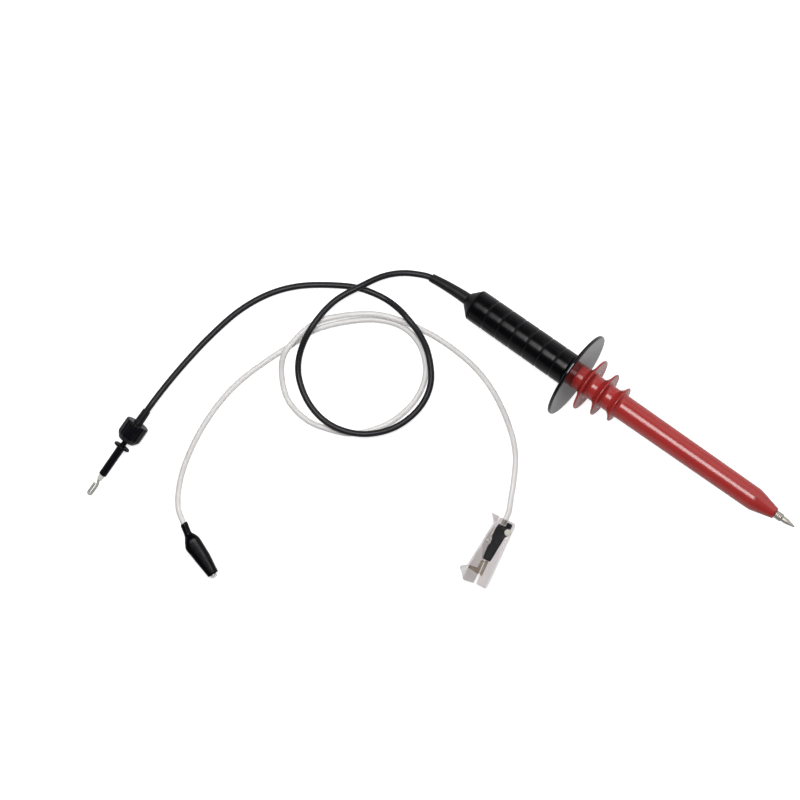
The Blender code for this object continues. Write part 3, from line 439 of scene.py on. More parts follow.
# Moulded grain: fine noise for the height, broad noise for the mottling
def makeGrainGroup():
    sizes = {"Size": 0.4, "Mottle": 8.0}
    group, source, target = newGroup("mouldedGrain", sizes, ("Height", "Mottle"))
    place = source.outputs["Vector"]
    fine = noiseNode(group, place, noiseScale(group, source, "Size"), detail=2.0)
    group.links.new(fine, target.inputs["Height"])
    broadScale = noiseScale(group, source, "Mottle")
    broad = noiseNode(group, place, broadScale, detail=4.0, roughness=0.6, distortion=0.4)
    mottle = rangeNode(group, broad, *surfaceMarks["mottle"], 0.0, 1.0)
    group.links.new(mottle, target.inputs["Mottle"])
    return group


# Handling marks: where a stretched, bent noise is within lineWidth of 0.5, kept only
# in patches that a second noise picks out
def makeScratchGroup():
    group, source, target = newGroup("handlingMarks", {"Spacing": 6.0, "Amount": 0.5}, ("Mask",))
    stretch = group.nodes.new("ShaderNodeMapping")
    turned = {"Rotation": surfaceMarks["lineTurn"], "Scale": surfaceMarks["lineStretch"]}
    setInputs(stretch.inputs, turned)
    group.links.new(source.outputs["Vector"], stretch.inputs["Vector"])
    scale = noiseScale(group, source, "Spacing")
    bent = stretch.outputs[0]
    lines = noiseNode(group, bent, scale, detail=1.0, roughness=0.5, distortion=1.2)
    distance = mathNode(group, "ABSOLUTE", mathNode(group, "SUBTRACT", lines, 0.5))
    thin = rangeNode(group, distance, 0.0, surfaceMarks["lineWidth"], 1.0, 0.0)
    patches = noiseNode(group, source.outputs["Vector"], scale, detail=2.0)
    chosen = rangeNode(group, patches, *surfaceMarks["patches"], 0.0, 1.0)
    marked = mathNode(group, "MULTIPLY", thin, chosen)
    mask = mathNode(group, "MULTIPLY", marked, source.outputs["Amount"], clamp=True)
    group.links.new(mask, target.inputs["Mask"])
    return group


# Dust: sparse soft specks where a fine noise peaks
def makeDustGroup():
    group, source, target = newGroup("dustSpecks", {"Size": 0.9, "Amount": 0.3}, ("Mask",))
    scale = noiseScale(group, source, "Size")
    fine = noiseNode(group, source.outputs["Vector"], scale, detail=1.0)
    specks = rangeNode(group, fine, *surfaceMarks["specks"], 0.0, 1.0)
    mask = mathNode(group, "MULTIPLY", specks, source.outputs["Amount"], clamp=True)
    group.links.new(mask, target.inputs["Mask"])
    return group


grainGroup = makeGrainGroup()
scratchGroup = makeScratchGroup()
dustGroup = makeDustGroup()


# A group placed in a material at a vector, with its own values
def useGroup(tree, group, vector, **values):
    node = tree.nodes.new("ShaderNodeGroup")
    node.node_tree = group
    tree.links.new(vector, node.inputs["Vector"])
    setInputs(node.inputs, values)
    return node.outputs


# What a finish has when it doesn't say: sizes and the bump's depth in millimetres.
# Marks have the shade's colour unless a finish gives them one.
plainFinish = {
    "grain": 0.4, "mottle": 8.0, "spacing": 6.0, "marks": 0.4, "markRough": 0.2,
    "speck": 0.8, "dust": 0.15, "dustColour": (0.5, 0.48, 0.45),
    "bump": 0.15, "depth": 0.05, "shader": {},
}


# One moulded, turned or drawn finish: mottled colour, dust, handling marks that
# change the gloss, and grain less the marks in the bump. Constant values sit on the
# shader.
def makeFinish(name, given):
    values = {**plainFinish, "markColour": given["shade"], **given}
    material, tree, shader = newMaterial(name)
    place = tree.nodes.new("ShaderNodeTexCoord").outputs["Object"]
    grain = useGroup(tree, grainGroup, place, Size=values["grain"], Mottle=values["mottle"])
    marks = useGroup(tree, scratchGroup, place, Spacing=values["spacing"], Amount=values["marks"])
    dust = useGroup(tree, dustGroup, place, Size=values["speck"], Amount=values["dust"])
    base = colourMix(tree, grain["Mottle"], values["colour"], values["shade"])
    marked = colourMix(tree, marks["Mask"], base, values["markColour"])
    dusted = colourMix(tree, dust["Mask"], marked, values["dustColour"])
    tree.links.new(dusted, shader["Base Color"])
    rough = rangeNode(tree, grain["Mottle"], 0, 1, *values["rough"])
    rougher = mathNode(tree, "MULTIPLY", marks["Mask"], values["markRough"])
    tree.links.new(mathNode(tree, "ADD", rough, rougher, clamp=True), shader["Roughness"])
    bump = tree.nodes.new("ShaderNodeBump")
    setInputs(bump.inputs, {"Strength": values["bump"], "Distance": values["depth"] * mm})
    height = mathNode(tree, "SUBTRACT", grain["Height"], marks["Mask"])
    tree.links.new(height, bump.inputs["Height"])
    tree.links.new(bump.outputs[0], shader["Normal"])
    setInputs(shader, {"Subsurface Radius": (1, 1, 1), **values["shader"]})
    return material


finishes = {
    "insulatorRed": {
        "colour": (0.385, 0.031, 0.028), "shade": (0.345, 0.026, 0.024), "rough": (0.2, 0.24),
        "grain": 1.4, "mottle": 14, "bump": 0.06, "depth": 0.01, "marks": 0.25,
        "markColour": (0.5, 0.1, 0.09), "dust": 0.05,
    },
    "handleBlack": {
        "colour": (0.0010, 0.0011, 0.0016), "shade": (0.0018, 0.0018, 0.0026),
        "rough": (0.21, 0.27), "grain": 0.5, "mottle": 10, "bump": 0.15, "depth": 0.02,
        "marks": 0.3, "markColour": (0.02, 0.02, 0.02), "dust": 0.03,
        "shader": {"Specular IOR Level": 0.17},
    },
    "guardBlack": {
        "colour": (0.0015, 0.0015, 0.002), "shade": (0.0025, 0.0025, 0.003), "rough": (0.08, 0.14),
        "grain": 1.2, "mottle": 18, "bump": 0.05, "depth": 0.02, "marks": 0.4,
        "markColour": (0.02, 0.02, 0.02), "dust": 0.1,
        "shader": {"Specular IOR Level": 0.45, "Specular Tint": (0.93, 0.93, 1.0, 1.0)},
    },
    "sleeveRubber": {
        "colour": (0.004, 0.004, 0.005), "shade": (0.007, 0.007, 0.008), "rough": (0.42, 0.5),
        "grain": 0.3, "mottle": 6, "bump": 0.3, "depth": 0.04, "marks": 0.2, "dust": 0.08,
        "shader": {"Specular IOR Level": 0.3},
    },
    "tipNickel": {
        "colour": (0.46, 0.43, 0.385), "shade": (0.37, 0.345, 0.305), "rough": (0.45, 0.54),
        "grain": 0.25, "mottle": 3, "bump": 0.2, "depth": 0.02, "marks": 0.6, "spacing": 3.0,
        "markColour": (0.32, 0.30, 0.26), "dust": 0.05, "shader": {"Metallic": 0.75},
    },
    "hookBlack": {
        "colour": (0.0014, 0.0014, 0.003), "shade": (0.0025, 0.0025, 0.005), "rough": (0.3, 0.4),
        "grain": 0.3, "mottle": 5, "bump": 0.25, "depth": 0.03, "marks": 0.3, "dust": 0.04,
        "shader": {"Specular IOR Level": 0.17},
    },
    "noseWhite": {
        "colour": (0.72, 0.71, 0.66), "shade": (0.62, 0.61, 0.56), "rough": (0.35, 0.45),
        "grain": 0.3, "mottle": 3, "bump": 0.15, "depth": 0.03, "marks": 0.2,
        "shader": {"Subsurface Weight": 0.1, "Subsurface Scale": 0.002},
    },
    "hookMetal": {
        "colour": (0.52, 0.51, 0.48), "shade": (0.43, 0.42, 0.395), "rough": (0.48, 0.58),
        "grain": 0.2, "mottle": 2, "bump": 0.2, "depth": 0.02, "marks": 0.5, "spacing": 2.0,
        "shader": {"Metallic": 0.6},
    },
    "cableSheath": {
        "colour": (0.006, 0.006, 0.008), "shade": (0.009, 0.009, 0.012), "rough": (0.36, 0.46),
        "grain": 0.25, "mottle": 9, "bump": 0.25, "depth": 0.03, "marks": 0.25, "dust": 0.1,
        "shader": {"Specular IOR Level": 0.3},
    },
    "leadSilicone": {
        "colour": (0.875, 0.86, 0.845), "shade": (0.83, 0.81, 0.80), "rough": (0.3, 0.4),
        "grain": 0.3, "mottle": 7, "bump": 0.15, "depth": 0.03, "marks": 0.1, "dust": 0.05,
        "shader": {"Transmission Weight": 0.2, "Subsurface Weight": 0.2, "Subsurface Scale": 0.002},
    },
    "bootVinyl": {
        "colour": (0.0014, 0.0014, 0.0026), "shade": (0.0025, 0.0025, 0.004), "rough": (0.2, 0.27),
        "grain": 0.5, "mottle": 5, "bump": 0.2, "depth": 0.05, "marks": 0.3, "dust": 0.04,
        "shader": {"Specular IOR Level": 0.1},
    },
    "jawSteel": {
        "colour": (0.34, 0.335, 0.325), "shade": (0.28, 0.275, 0.265), "rough": (0.36, 0.48),
        "grain": 0.2, "mottle": 2, "bump": 0.2, "depth": 0.02, "marks": 0.6, "spacing": 2.0,
        "shader": {"Metallic": 1.0},
    },
    "jawBrass": {
        "colour": (0.36, 0.30, 0.235), "shade": (0.28, 0.23, 0.17), "rough": (0.42, 0.52),
        "grain": 0.2, "mottle": 2, "bump": 0.2, "depth": 0.02, "marks": 0.4, "spacing": 2.0,
        "shader": {"Metallic": 0.3, "Specular IOR Level": 0.3},
    },
    "plainBrass": {
        "colour": (0.62, 0.44, 0.2), "shade": (0.5, 0.35, 0.15), "rough": (0.25, 0.4), "grain": 0.3,
        "mottle": 4, "bump": 0.2, "depth": 0.02, "shader": {"Metallic": 1.0},
    },
    "springSteel": {
        "colour": (0.55, 0.55, 0.54), "shade": (0.45, 0.45, 0.44), "rough": (0.2, 0.34),
        "grain": 0.2, "mottle": 2, "bump": 0.2, "depth": 0.01, "shader": {"Metallic": 1.0},
    },
    "tinnedCopper": {
        "colour": (0.5, 0.485, 0.455), "shade": (0.42, 0.405, 0.38), "rough": (0.48, 0.58),
        "grain": 0.3, "mottle": 3, "bump": 0.2, "depth": 0.02, "shader": {"Metallic": 1.0},
    },
    "resistorBlue": {
        "colour": (0.04, 0.11, 0.22), "shade": (0.03, 0.09, 0.18), "rough": (0.35, 0.5),
        "grain": 0.4, "mottle": 6, "bump": 0.25, "depth": 0.04,
    },
    "pottingResin": {
        "colour": (0.018, 0.018, 0.02), "shade": (0.028, 0.027, 0.03), "rough": (0.4, 0.6),
        "grain": 0.6, "mottle": 5, "bump": 0.3, "depth": 0.05,
    },
    "boardGreen": {
        "colour": (0.025, 0.16, 0.07), "shade": (0.03, 0.12, 0.06), "rough": (0.35, 0.5),
        "grain": 0.3, "mottle": 2, "bump": 0.3, "depth": 0.03,
    },
    "trimmerWhite": {
        "colour": (0.74, 0.73, 0.69), "shade": (0.66, 0.65, 0.6), "rough": (0.4, 0.5), "grain": 0.4,
        "mottle": 3, "bump": 0.2, "depth": 0.03,
    },
    "clearPlastic": {
        "colour": (0.93, 0.905, 0.905), "shade": (0.90, 0.87, 0.87), "rough": (0.03, 0.07),
        "grain": 1.6, "mottle": 6, "bump": 0.08, "depth": 0.03, "marks": 0.4, "spacing": 4.0,
        "markColour": (0.95, 0.95, 0.95), "dust": 0.05,
        "shader": {"Transmission Weight": 1.0, "IOR": 1.49},
    },
    "coreBlack": {
        "colour": (0.004, 0.004, 0.007), "shade": (0.006, 0.006, 0.009), "rough": (0.3, 0.4),
        "grain": 0.3, "mottle": 4, "bump": 0.2, "depth": 0.03,
        "shader": {"Specular IOR Level": 0.15},
    },
    "screwWhite": {
        "colour": (0.58, 0.57, 0.51), "shade": (0.50, 0.49, 0.44), "rough": (0.3, 0.42),
        "grain": 0.3, "mottle": 2, "bump": 0.2, "depth": 0.03,
    },
}
finishes["capBlack"] = {
    **finishes["handleBlack"], "rough": (0.38, 0.45), "shader": {"Specular IOR Level": 0.1},
}
materials = {name: makeFinish(name, given) for name, given in finishes.items()}
print("finishes made")


# Probe: an outline's rows are place along the axis, radius and fillet, in millimetres

probeAxes = turnedAxes("guard_disc", record["mounts"][0]["axis"], (0, 1, 0), 0.0)

insulatorSize = {
    "base": 2.5, "baseRadius": 9.7, "frontRadius": 8.8, "tubeEnd": 164.6,
    "coneEnd": 182.8, "coneEndRadius": 4.2, "boreRadius": 6.0, "boreEnd": 158.0, "stemBore": 2.1,
    "spigotRadius": 7.5, "spigotRear": -19.3,
    "sheds": ((15.4, 21.6), (28.6, 18.2), (41.6, 14.7)),  # front and radius of each
    "shedRoot": 6.6, "shedHollow": 1.7, "shedSteps": 8, "rimBelow": 0.9,
    "shedRim": ((-1.7, -0.5, 0.5), (-1.0, 0, 0.8), (-0.1, -0.5, 0.7)),  # from front and radius
    "shedFace": ((-0.45, 1.6, 1.2), (1.5, 0, 1.5)),  # from its front and from the tube
}


# The tube's radius runs straight from the base's to the front's
def insulatorRadius(s):
    v = insulatorSize
    rise = (v["frontRadius"] - v["baseRadius"]) * (s - v["base"])
    return v["baseRadius"] + rise / (v["tubeEnd"] - v["base"])


# The insulator: a base, three sheds, the long taper, the cone and the bore. The rear
# of a shed is hollow: it rises as the part of its length to the power shedHollow.
def insulatorOutline():
    v = insulatorSize
    rows = [(v["spigotRear"], v["boreRadius"], 0), (v["spigotRear"], v["spigotRadius"], 0.3)]
    rows += [(v["base"], v["spigotRadius"], 0), (v["base"], v["baseRadius"], 0.35)]
    part = np.arange(v["shedSteps"]) / v["shedSteps"]
    for front, radius in v["sheds"]:
        root, edge = front - v["shedRoot"], front + v["shedRim"][0][0]
        foot = insulatorRadius(root)
        rise = foot + (radius - v["rimBelow"] - foot) * part ** v["shedHollow"]
        rows += [(s, r, 0.4) for s, r in zip(root + (edge - root) * part, rise)]
        rows += [(front + s, radius + r, fillet) for s, r, fillet in v["shedRim"]]
        rows += [(front + s, insulatorRadius(front) + r, fillet) for s, r, fillet in v["shedFace"]]
    rows += [(v["tubeEnd"], insulatorRadius(v["tubeEnd"]), 2.2)]
    rows += [(v["coneEnd"], v["coneEndRadius"], 0.7), (v["coneEnd"], v["stemBore"], 0)]
    rows += [(v["boreEnd"], v["stemBore"], 0), (v["boreEnd"], v["boreRadius"], 0)]
    return refined(softened(rows), step=2.0)


insulator = spun("insulatorMoulding", insulatorOutline(), probeAxes, closed=True)
dress(insulator, "insulatorRed", "probe", "insulator")
print("insulator made")

handleSize = {
    "front": -5.3, "rear": -92.1, "frontRadius": 12.9, "rearRadius": 12.6, "bore": 10.5,
    "grooves": 6, "grooveSpare": 0.9, "grooveFirst": 0.85, "grooveHalf": 0.85, "grooveDepth": 0.5,
    "length": 100.4, "coneRadius": 5.3, "neckBore": 4.2, "capShoulder": -92.4,
    "shoulderBack": 0.9, "shoulderDrop": 0.25,
    "spigotRadius": 10.2, "spigotLength": 6.4, "flangeBore": 6.1, "flangeFace": -89.8,
    "collarRear": -5.0, "collarFront": 0.1, "collarRadius": 12.2, "collarBore": 7.8,
    "collarSpigot": 7.0,
}


# The grip's radius runs straight from the rear's to the front's
def handleRadius(s):
    v = handleSize
    rise = (v["frontRadius"] - v["rearRadius"]) * (s - v["rear"])
    return v["rearRadius"] + rise / (v["front"] - v["rear"])


# The grip: a straight tube with V grooves at even steps
def handleOutline():
    v = handleSize
    pitch = (v["front"] - v["rear"]) / (v["grooves"] + v["grooveSpare"])
    rows = [(v["rear"], v["bore"], 0), (v["rear"], handleRadius(v["rear"]), 0.35)]
    for place in v["front"] - pitch * (v["grooveFirst"] + np.arange(v["grooves"])[::-1]):
        rows += [(place - v["grooveHalf"], handleRadius(place), 0.3)]
        rows += [(place, handleRadius(place) - v["grooveDepth"], 0.4)]
        rows += [(place + v["grooveHalf"], handleRadius(place), 0.3)]
    rows += [(v["front"], handleRadius(v["front"]), 0.6), (v["front"], v["bore"], 0)]
    return refined(softened(rows), step=3.0)


# The end cap: a cone with a shoulder, its spigot in the grip, and a seat for the
# sleeve's flange
def endCapOutline():
    v = handleSize
    shoulder, spigotEnd = v["capShoulder"], v["capShoulder"] + v["spigotLength"]
    coneEnd = (shoulder - v["shoulderBack"], v["rearRadius"] - v["shoulderDrop"], 1.6)
    rows = [(-v["length"], v["neckBore"], 0), (-v["length"], v["coneRadius"], 0.5)]
    rows += [coneEnd, (shoulder, v["rearRadius"], 0.25)]
    rows += [(shoulder, v["spigotRadius"], 0), (spigotEnd, v["spigotRadius"], 0.4)]
    rows += [(spigotEnd, v["flangeBore"], 0), (v["flangeFace"], v["flangeBore"], 0)]
    rows += [(v["flangeFace"], v["neckBore"], 0)]
    return softened(rows)


# The collar behind the guard: a ring and its spigot in the grip
def collarOutline():
    v = handleSize
    rear, spigotRear = v["collarRear"], v["collarRear"] - v["collarSpigot"]
    rows = [(spigotRear, v["collarBore"], 0), (spigotRear, v["spigotRadius"], 0.3)]
    rows += [(rear, v["spigotRadius"], 0), (rear, v["collarRadius"], 0.7)]
    rows += [(v["collarFront"], v["collarRadius"], 0.7), (v["collarFront"], v["collarBore"], 0)]
    return softened(rows)


grip = spun("handleGrip", handleOutline(), probeAxes, closed=True)
dress(grip, "handleBlack", "probe", "handle_shell")
endCap = spun("handleCap", endCapOutline(), probeAxes, closed=True)
dress(endCap, "capBlack", "probe", "handle_end_cap")
collar = spun("collarRing", collarOutline(), probeAxes, closed=True)
dress(collar, "guardBlack", "probe", "guard_collar")

guardSize = {
    "radius": 35.0, "thickness": 2.6, "rounding": 1.1, "bore": 7.8,
    "seatDepth": 0.4, "rearSeat": 12.5, "frontSeat": 10.0,
}


# The guard: a plate with a rounded rim and a shallow seat in each face
def guardOutline():
    v = guardSize
    front, seat = v["thickness"], v["thickness"] - v["seatDepth"]
    rows = [(v["seatDepth"], v["bore"], 0), (v["seatDepth"], v["rearSeat"], 0)]
    rows += [(0, v["rearSeat"], 0.1), (0, v["radius"], v["rounding"])]
    rows += [(front, v["radius"], v["rounding"]), (front, v["frontSeat"], 0.1)]
    rows += [(seat, v["frontSeat"], 0), (seat, v["bore"], 0)]
    return refined(softened(rows, steps=9), step=3.0)


guard = spun("guardPlate", guardOutline(), probeAxes, around=160, closed=True)
dress(guard, "guardBlack", "probe", "guard_disc")
print("handle and guard made")

sleeveSize = {
    "end": -133.4, "endRadius": 3.4, "front": -100.7, "frontRadius": 4.7, "neckRadius": 3.9,
    "flangeStart": -89.5, "flangeEnd": -87.3, "flangeRadius": 5.8, "bore": 2.7, "bend": 2.2,
    "lip": 0.45,
}


# The sleeve bends sideways by bend times the square of the part of its length
def sleeveShift(s):
    v = sleeveSize
    part = np.maximum((-handleSize["length"] - s) / (-handleSize["length"] - v["end"]), 0)
    return -v["bend"] * part**2


# The sleeve: a taper, a neck through the end cap, and a flange inside. The last row
# is the first again, so that the bore gets points too, and is then left out.
def sleeveOutline():
    v = sleeveSize
    rows = [(v["end"], v["bore"], 0), (v["end"], v["endRadius"], v["lip"])]
    rows += [(v["front"], v["frontRadius"], 0.5), (v["front"], v["neckRadius"], 0)]
    rows += [(v["flangeStart"], v["neckRadius"], 0), (v["flangeStart"], v["flangeRadius"], 0.2)]
    rows += [(v["flangeEnd"], v["flangeRadius"], 0.2), (v["flangeEnd"], v["bore"], 0), rows[0]]
    return refined(softened(rows), step=1.5)[:-1]


sleeve = spun(
    "cableSleeve", sleeveOutline(), probeAxes, around=64, closed=True, shift=sleeveShift,
)
dress(sleeve, "sleeveRubber", "probe", "strain_relief_sleeve")

tipSize = {
    "rear": 163.0, "end": 199.7, "face": 183.1, "baseRadius": 3.1, "shoulder": 188.4,
    "stepBack": 0.3, "stepForth": 0.5, "neckRadius": 2.3, "neckLength": 4.5, "neckTaper": 0.15,
    "pointRadius": 0.5, "pointLength": 0.8, "pointTaper": 0.25, "stemRadius": 1.8,
    "rings": 3, "ringDepth": 0.22, "ringHalf": 0.25,
}


# The metal tip: a stem, a collar with turned rings, a slim taper and a blunt point
def tipOutline():
    v = tipSize
    rows = [(v["rear"], 0, 0), (v["rear"], v["stemRadius"], 0.3), (v["face"], v["stemRadius"], 0)]
    rows += [(v["face"], v["baseRadius"], 0.35)]
    pitch = (v["shoulder"] - v["face"]) / (v["rings"] + 1)
    for place in v["face"] + pitch * np.arange(1, v["rings"] + 1):
        rows += [(place - v["ringHalf"], v["baseRadius"], 0.12)]
        rows += [(place, v["baseRadius"] - v["ringDepth"], 0.12)]
        rows += [(place + v["ringHalf"], v["baseRadius"], 0.12)]
    rows += [(v["shoulder"] - v["stepBack"], v["baseRadius"], 0.3)]
    rows += [(v["shoulder"] + v["stepForth"], v["neckRadius"], 0.6)]
    rows += [(v["shoulder"] + v["neckLength"], v["neckRadius"] - v["neckTaper"], 2.0)]
    rows += [(v["end"] - v["pointLength"], v["pointRadius"] + v["pointTaper"], 0.5)]
    rows += [(v["end"], v["pointRadius"], 0.3), (v["end"], 0, 0)]
    return refined(softened(rows), step=1.0)


tip = spun("probeTipTurning", tipOutline(), probeAxes, around=64)
dress(tip, "tipNickel", "probe", "probe_tip")
print("sleeve and tip made")


# Hook clip

hookSize = {
    "knobRear": -7.0, "knobRadius": 9.5, "knobEdge": 5.5, "knobFront": 9.8, "knobFrontRadius": 6.2,
    "recess": 3.0, "recessRadius": 3.7, "plungerRadius": 2.1, "plungerEnd": 24.0,
    "stemBore": 1.3, "stemSeat": 7.0, "ribs": 16, "ribDepth": 0.28, "ribStart": 0.86,
    "flangeRear": 14.3, "flangeThickness": 1.5, "flangeRadius": 6.5, "barrelRadius": 3.05,
    "barrelEnd": 41.6, "barrelBore": 2.5, "barrelWall": 3.8,
    "noseGap": 0.3, "noseEnd": 46.2, "noseRadius": 2.2, "noseTip": (1.2, 0.1, 0.6),
    "wireRadius": 1.0, "wireSeat": 7.3, "wireAround": 24, "reach": 60.5, "halfWidth": 1.3,
    "leg": 8.2, "straight": 3.5, "bendPoints": 15,
    # places from the nose's end, with their parts of the half width
    "swerve": ((-8.0, 0), (0.8, 0), (2.6, 0.6), (4.4, 1.0)),
    "sleeveSeat": 0.3, "sleeveLength": 14.5, "sleeveRadius": 3.1, "sleeveRootRadius": 3.4,
    "sleeveRoot": 1.0, "sleeveBore": 2.7,
    "springTurns": 6, "springWire": 0.25, "springRadius": 1.95, "springRear": 24.55,
    "springFront": 37.25, "springPoints": 24, "springAround": 10,
}
hookForward = -np.array(joints["hook_barrel_slide"]["axis"])
hookAxes = turnedAxes("hook_clip_knob", hookForward, (1, 0, 0), hookSize["knobRear"])


# The knob's grip ribs: shallow cosine waves round its widest stretch, faded out
# towards both ends
def knobRipple(s, r, a):
    v = hookSize
    ribStart = v["ribStart"] * v["knobRadius"]
    wide = np.clip((r - ribStart) / (v["knobRadius"] - ribStart), 0, 1)
    return -0.5 * v["ribDepth"] * wide * (1 - np.cos(v["ribs"] * a))


# The knob: a recess for the sleeve, a wide grip, and the plunger with its stem's bore
def knobOutline():
    v = hookSize
    floor = v["knobRear"] + v["recess"]
    stem = floor + v["stemSeat"]
    rows = [(floor, 0, 0), (floor, v["recessRadius"], 0.2), (v["knobRear"], v["recessRadius"], 0.3)]
    rows += [(v["knobRear"], v["knobRadius"], 1.3), (v["knobEdge"], v["knobRadius"], 1.2)]
    rows += [(v["knobFront"], v["knobFrontRadius"], 0.9), (v["knobFront"], v["plungerRadius"], 0.4)]
    rows += [(v["plungerEnd"], v["plungerRadius"], 0.2), (v["plungerEnd"], v["stemBore"], 0)]
    rows += [(stem, v["stemBore"], 0), (stem, 0, 0)]
    return refined(softened(rows), step=1.2)


# The barrel: a finger flange, a tube, and a wall at the front that the stem passes
def barrelOutline():
    v = hookSize
    inner = v["barrelEnd"] - v["barrelWall"]
    front = v["flangeRear"] + v["flangeThickness"]
    rows = [(v["flangeRear"], v["barrelBore"], 0), (v["flangeRear"], v["flangeRadius"], 0.5)]
    rows += [(front, v["flangeRadius"], 0.5), (front, v["barrelRadius"], 0.5)]
    rows += [(v["barrelEnd"], v["barrelRadius"], 0.5), (v["barrelEnd"], v["stemBore"], 0)]
    rows += [(inner, v["stemBore"], 0), (inner, v["barrelBore"], 0)]
    return refined(softened(rows), step=1.5)


# The nose: a short tube that narrows at its tip
def noseOutline():
    v = hookSize
    start = v["barrelEnd"] + v["noseGap"]
    tipLength, taper, drop = v["noseTip"]
    rows = [(start, v["stemBore"], 0), (start, v["noseRadius"], 0.2)]
    rows += [(v["noseEnd"] - tipLength, v["noseRadius"] - taper, 0.8)]
    rows += [(v["noseEnd"], v["noseRadius"] - drop, 0.3), (v["noseEnd"], v["stemBore"], 0)]
    return softened(rows)


# Where the clip's sleeve starts in the knob and where it ends on the cable
def hookSleeveEnds():
    v = hookSize
    start = v["knobRear"] + v["recess"] - v["sleeveSeat"]
    return start, start - v["sleeveLength"]


# The clip's sleeve: a tube that widens towards the knob
def hookSleeveOutline():
    v = hookSize
    start, end = hookSleeveEnds()
    rows = [(end, v["sleeveBore"], 0), (end, v["sleeveRadius"], 0.25)]
    rows += [(v["knobRear"] - v["sleeveRoot"], v["sleeveRootRadius"], 2)]
    rows += [(start, v["sleeveRootRadius"], 0.2), (start, v["sleeveBore"], 0)]
    return refined(softened(rows), step=1.5)


# The stem and hook: straight out of the nose, a slight swerve, a half turn and a short
# leg back
def hookPath():
    v = hookSize
    start = v["knobRear"] + v["recess"] + v["wireSeat"]
    centre = v["reach"] - v["wireRadius"] - v["halfWidth"]
    a = np.linspace(np.pi / 2, -np.pi / 2, v["bendPoints"])
    bend = np.stack([centre + v["halfWidth"] * np.cos(a), v["halfWidth"] * np.sin(a)], -1)
    rows = [(start, 0), *((v["noseEnd"] + s, part * v["halfWidth"]) for s, part in v["swerve"])]
    rows += [(centre - v["straight"], v["halfWidth"])]
    path = np.vstack([curveThrough(rows, perSpan=10), bend, [(centre - v["leg"], -v["halfWidth"])]])
    path = refined(path, step=1.0)
    return placed(np.column_stack([path, np.zeros(len(path))]), hookAxes)


# The coil between plunger and barrel: (s, r sin a, -r cos a) with s growing evenly
# with the angle a.
def makeHookSpring():
    v = hookSize
    turns = v["springTurns"]
    a = np.linspace(0, 2 * np.pi * turns, turns * v["springPoints"] + 1)
    s = np.linspace(v["springRear"], v["springFront"], len(a))
    outward = np.column_stack([0 * a, np.sin(a), -np.cos(a)])
    middle = placed(np.column_stack([s, 0 * a, 0 * a]) + v["springRadius"] * outward, hookAxes)
    wire, beside = v["springWire"] * mm, outward @ hookAxes[1:]
    coil = tubePiece("hookSpring", middle, wire, v["springAround"], beside)
    dress(coil, "springSteel", None, "hook_clip_spring")
    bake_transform(coil)


knob = spun("hookKnob", knobOutline(), hookAxes, around=128, ripple=knobRipple)
dress(knob, "hookBlack", "probe", "hook_clip_knob")
barrel = spun("hookBarrel", barrelOutline(), hookAxes, around=72, closed=True)
dress(barrel, "hookBlack", "hook_barrel", "hook_clip_barrel")
nose = spun("hookNose", noseOutline(), hookAxes, around=56, closed=True)
dress(nose, "noseWhite", "hook_barrel", "hook_clip_nose")
wireRadius = hookSize["wireRadius"] * mm
hookWire = tubePiece("hookWire", hookPath(), wireRadius, hookSize["wireAround"])
dress(hookWire, "hookMetal", "probe", "hook_clip_hook")
makeHookSpring()
hookSleeve = spun("hookSleeve", hookSleeveOutline(), hookAxes, around=56, closed=True)
dress(hookSleeve, "sleeveRubber", "probe", "hook_cable_sleeve")
print("hook clip made")


# Crocodile clip

bootSize = {
    "angle": -22.0, "leanStart": -12.0, "lean": 0.19, "around": 72, "stretch": (1.65, 8.3, 0),
}
# Stations of the boot's outside, in millimetres: place, half width, half height,
# squareness and place sideways
bootOutside = [
    (-24.0, 2.6, 2.6, 2.0, 2.28), (-23.2, 2.95, 2.95, 2.0, 2.13), (-18.5, 2.95, 2.95, 2.0, 1.24),
    (-15.0, 3.1, 3.0, 2.0, 0.6), (-12.9, 4.3, 3.9, 2.3, 0.6), (-10.6, 5.5, 4.8, 2.9, 0.4),
    (-8.3, 6.35, 5.15, 3.2, 0.15), (-6.2, 6.75, 5.2, 3.4, -0.25), (0.0, 6.4, 5.2, 3.4, 0.05),
    (6.0, 6.0, 5.2, 3.4, 0.3), (13.0, 5.2, 5.2, 3.4, 0.35), (19.6, 4.4, 5.2, 3.4, 0.4),
    (20.5, 4.3, 5.1, 3.4, 0.4), (20.8, 4.0, 4.8, 3.4, 0.4),
]
# Stations of its inside, from the mouth back to the neck
bootInside = [
    (20.8, 3.4, 4.25, 3.4, 0.4), (19.8, 3.25, 4.15, 3.4, 0.4), (6.0, 5.05, 4.25, 3.4, 0.3),
    (-6.6, 5.8, 4.25, 3.4, -0.25), (-9.4, 4.6, 3.7, 2.6, 0.2), (-12.4, 2.5, 2.5, 2.0, 0.08),
    (-15.0, 2.5, 2.5, 2.0, 0.57), (-24.0, 2.5, 2.5, 2.0, 2.28),
]


# A frame on the table: forward is (cos, sin, 0) of the angle, sideways is
# (-sin, cos, 0), and up is Z
def turnedFrame(origin, angle):
    turn = math.radians(angle)
    forward = (math.cos(turn), math.sin(turn), 0)
    return np.array([origin, forward, (-forward[1], forward[0], 0), (0, 0, 1)])


crocodileAxes = turnedFrame(joints["crocodile_jaw_hinge"]["pos_m"], bootSize["angle"])


